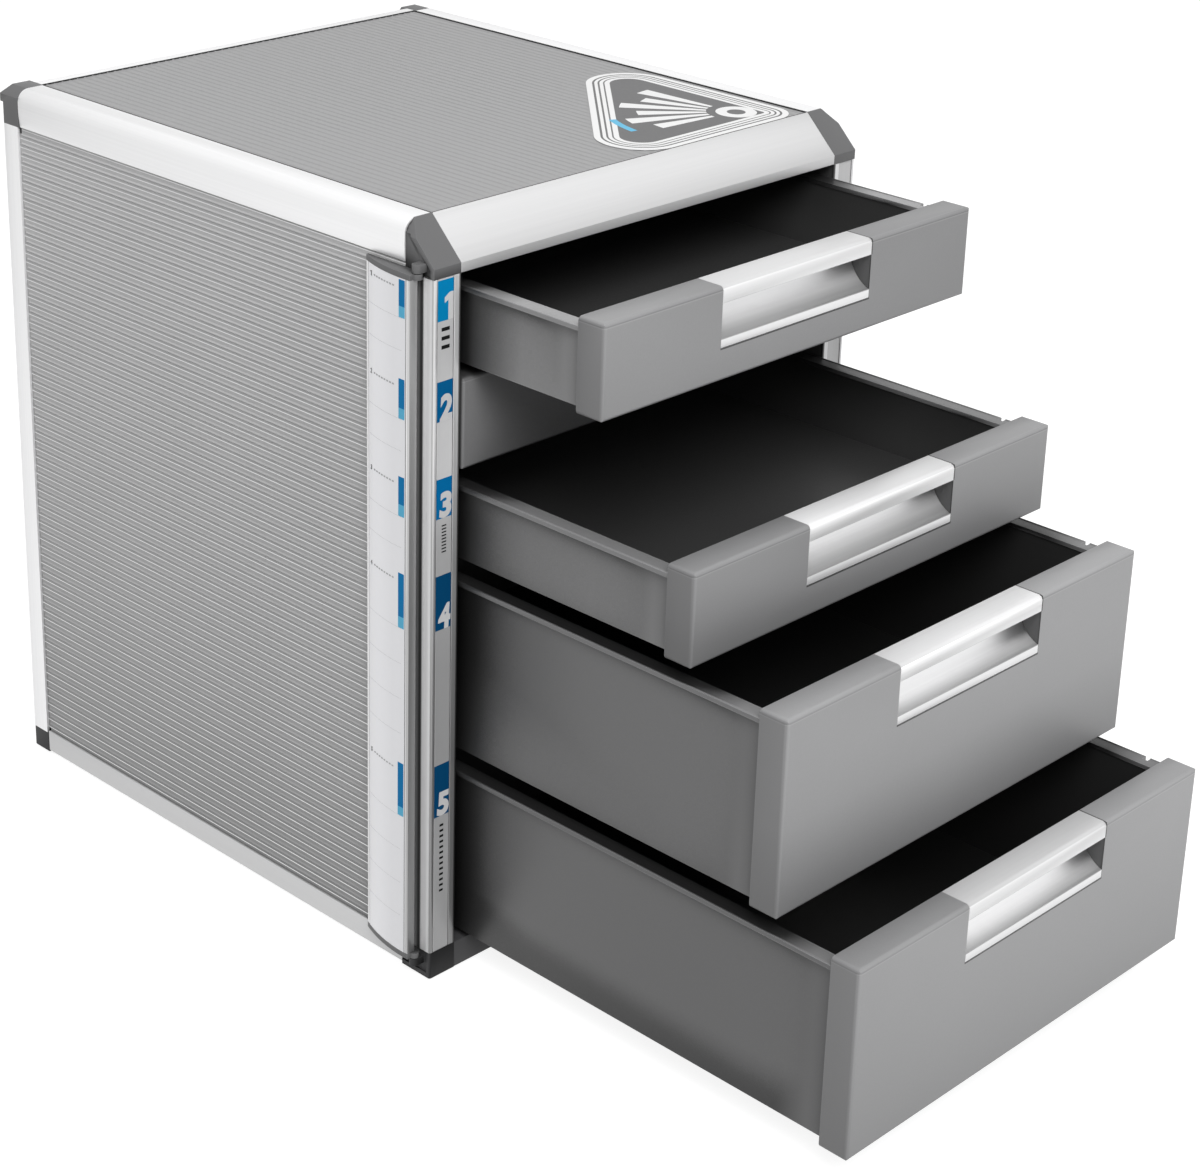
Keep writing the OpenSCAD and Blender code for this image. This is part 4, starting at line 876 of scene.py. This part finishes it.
def onLabel(places, layer):
    # Cabinet measure from the label's square corner to the shared frame, one layer above another.
    height = labelTop + layer * label["lift"] * mm
    x = shiftX + (label["right"] + places[..., 0]) * mm
    y = shiftY + (label["front"] + places[..., 1]) * mm
    return np.stack([x, y, np.full_like(x, height)], -1)


def labelRing(outer, inner, layer):
    rings = np.stack([labelOutline(outer), labelOutline(inner)], 1)
    return onLabel(np.concatenate([rings, rings[:1]]), layer)


field = onLabel(labelOutline(label["field"]), 1)
addFaces("labelField", field, [list(range(len(field)))], inks["grey"], "cabinet")
rings = [labelRing(outer, inner, 1) for outer, inner in label["rings"]]
addPiece("labelRings", surfaceMesh("labelRings", rings), inks["grey"], "cabinet")

# A fan of wedges round a hub, every other one shorter, with an arc beyond it
fan = {"middle": (-24.0, 24.0), "inner": 16.0, "outer": 62.0, "shorter": 9.0, "count": 6, "from": 92.0,
    "step": 15.0, "fill": 0.6}
hub = {"inner": 5.0, "outer": 11.0, "steps": 48}
accent = {"inner": 67.0, "outer": 71.0, "from": 152, "to": 172}


def labelWedge(inner, outer, start, end, layer, steps=8):
    # Polar grid about the fan's middle; angles in degrees, 90 to the back and 180 to the left.
    radius, angle = np.meshgrid([inner, outer], np.radians(np.linspace(start, end, steps)), indexing="ij")
    middle = np.array(fan["middle"])
    return onLabel(np.stack([np.cos(angle), np.sin(angle)], -1) * radius[..., None] + middle, layer)


wedges = [labelWedge(fan["inner"], fan["outer"] - fan["shorter"] * (k % 2), fan["from"] + k * fan["step"],
    fan["from"] + (k + fan["fill"]) * fan["step"], 2) for k in range(fan["count"])]
disc = labelWedge(hub["inner"], hub["outer"], 0, 360, 2, hub["steps"])
arc = labelWedge(accent["inner"], accent["outer"], accent["from"], accent["to"], 2)
for name, sheets, inkName in (("labelFan", wedges, "white"), ("labelHub", [disc], "white"),
        ("labelAccent", [arc], "sky")):
    addPiece(name, surfaceMesh(name, sheets), inks[inkName], "cabinet")
print("label printed")

for node in nodes:
    if node not in softEdges["skip"]:
        soften(node)
print("edges softened")

# floor, light and camera

floorLook = {"colour": (0.35, 0.35, 0.35), "roughness": 0.9, "seen": 0.86, "reach": 9.0, "grain": 60.0,
    "mottle": 0.01}
floorMaterial, floorTree, floorShader = newMaterial("floorPaint", floorLook["colour"], floorLook["roughness"],
    Specular_IOR_Level=0.0)
floorShader.inputs["Emission Color"].default_value = (1, 1, 1, 1)
path = floorTree.nodes.new("ShaderNodeLightPath")
mirrored = mathNode(floorTree, "MAXIMUM", path.outputs["Is Camera Ray"], path.outputs["Is Glossy Ray"])
floorTree.links.new(mathNode(floorTree, "MULTIPLY", mirrored, floorLook["seen"]),
    floorShader.inputs["Emission Strength"])
floorTone = useGroup(floorTree, grain, scale=floorLook["grain"])["Tone"]
floorTints = [scaled(floorLook["colour"], 1 + way * floorLook["mottle"]) for way in (-1, 1)]
floorTree.links.new(mixColour(floorTree, spread(floorTree, floorTone, 0.0, 1.0), *floorTints),
    floorShader.inputs["Base Color"])
reach = floorLook["reach"]
floorPoints = np.array([[[x, y, 0.0] for y in (-reach, reach)] for x in (-reach, reach)])
floor = bpy.data.objects.new("floor", surfaceMesh("floor", [floorPoints]))
floor.data.materials.append(floorMaterial)
scene.collection.objects.link(floor)

world = bpy.data.worlds.new("studio")
scene.world = world
world.use_nodes = True
worldTree = world.node_tree
sky = worldTree.nodes["Background"]
sky.inputs["Color"].default_value = (1, 1, 1, 1)
diffuseSky = 0.45
worldPath = worldTree.nodes.new("ShaderNodeLightPath")
seen = mathNode(worldTree, "MAXIMUM", worldPath.outputs["Is Camera Ray"], worldPath.outputs["Is Glossy Ray"])
extra = mathNode(worldTree, "MULTIPLY", seen, 1 - diffuseSky)
worldTree.links.new(mathNode(worldTree, "ADD", extra, diffuseSky), sky.inputs["Strength"])


def softLamp(name, place, target, size, energy):
    # A square lamp turned from its place to the target, unseen in reflections.
    lamp = bpy.data.lights.new(name, "AREA")
    lamp.size = size
    lamp.energy = energy
    holder = bpy.data.objects.new(name, lamp)
    scene.collection.objects.link(holder)
    holder.rotation_euler = (Vector(place) - Vector(target)).to_track_quat("Z", "Y").to_euler()
    holder.location = place
    holder.visible_glossy = False


softLamp("keyLamp", (-1.15, -1.55, 2.2), (0, 0, 0.2), 1.6, 64)
softLamp("topLamp", (0.2, 0.4, 2.4), (0, 0, 0.3), 1.8, 7)

view = {"lens": 81.7565, "sensor": 36, "shiftX": 0.05633, "shiftY": -0.15443,
    "place": (-0.95604, -0.90786, 0.77433), "turn": (68.8565, -1.1279, -44.8708)}
camera = bpy.data.objects.new("camera", bpy.data.cameras.new("camera"))
scene.collection.objects.link(camera)
turn = Euler([math.radians(angle) for angle in view["turn"]])
camera.matrix_world = Matrix.LocRotScale(view["place"], turn, None)
camera.data.sensor_width = view["sensor"]
camera.data.lens = view["lens"]
camera.data.shift_x = view["shiftX"]
camera.data.shift_y = view["shiftY"]
scene.camera = camera
scene.view_settings.view_transform = "Standard"
print("camera and lights placed")
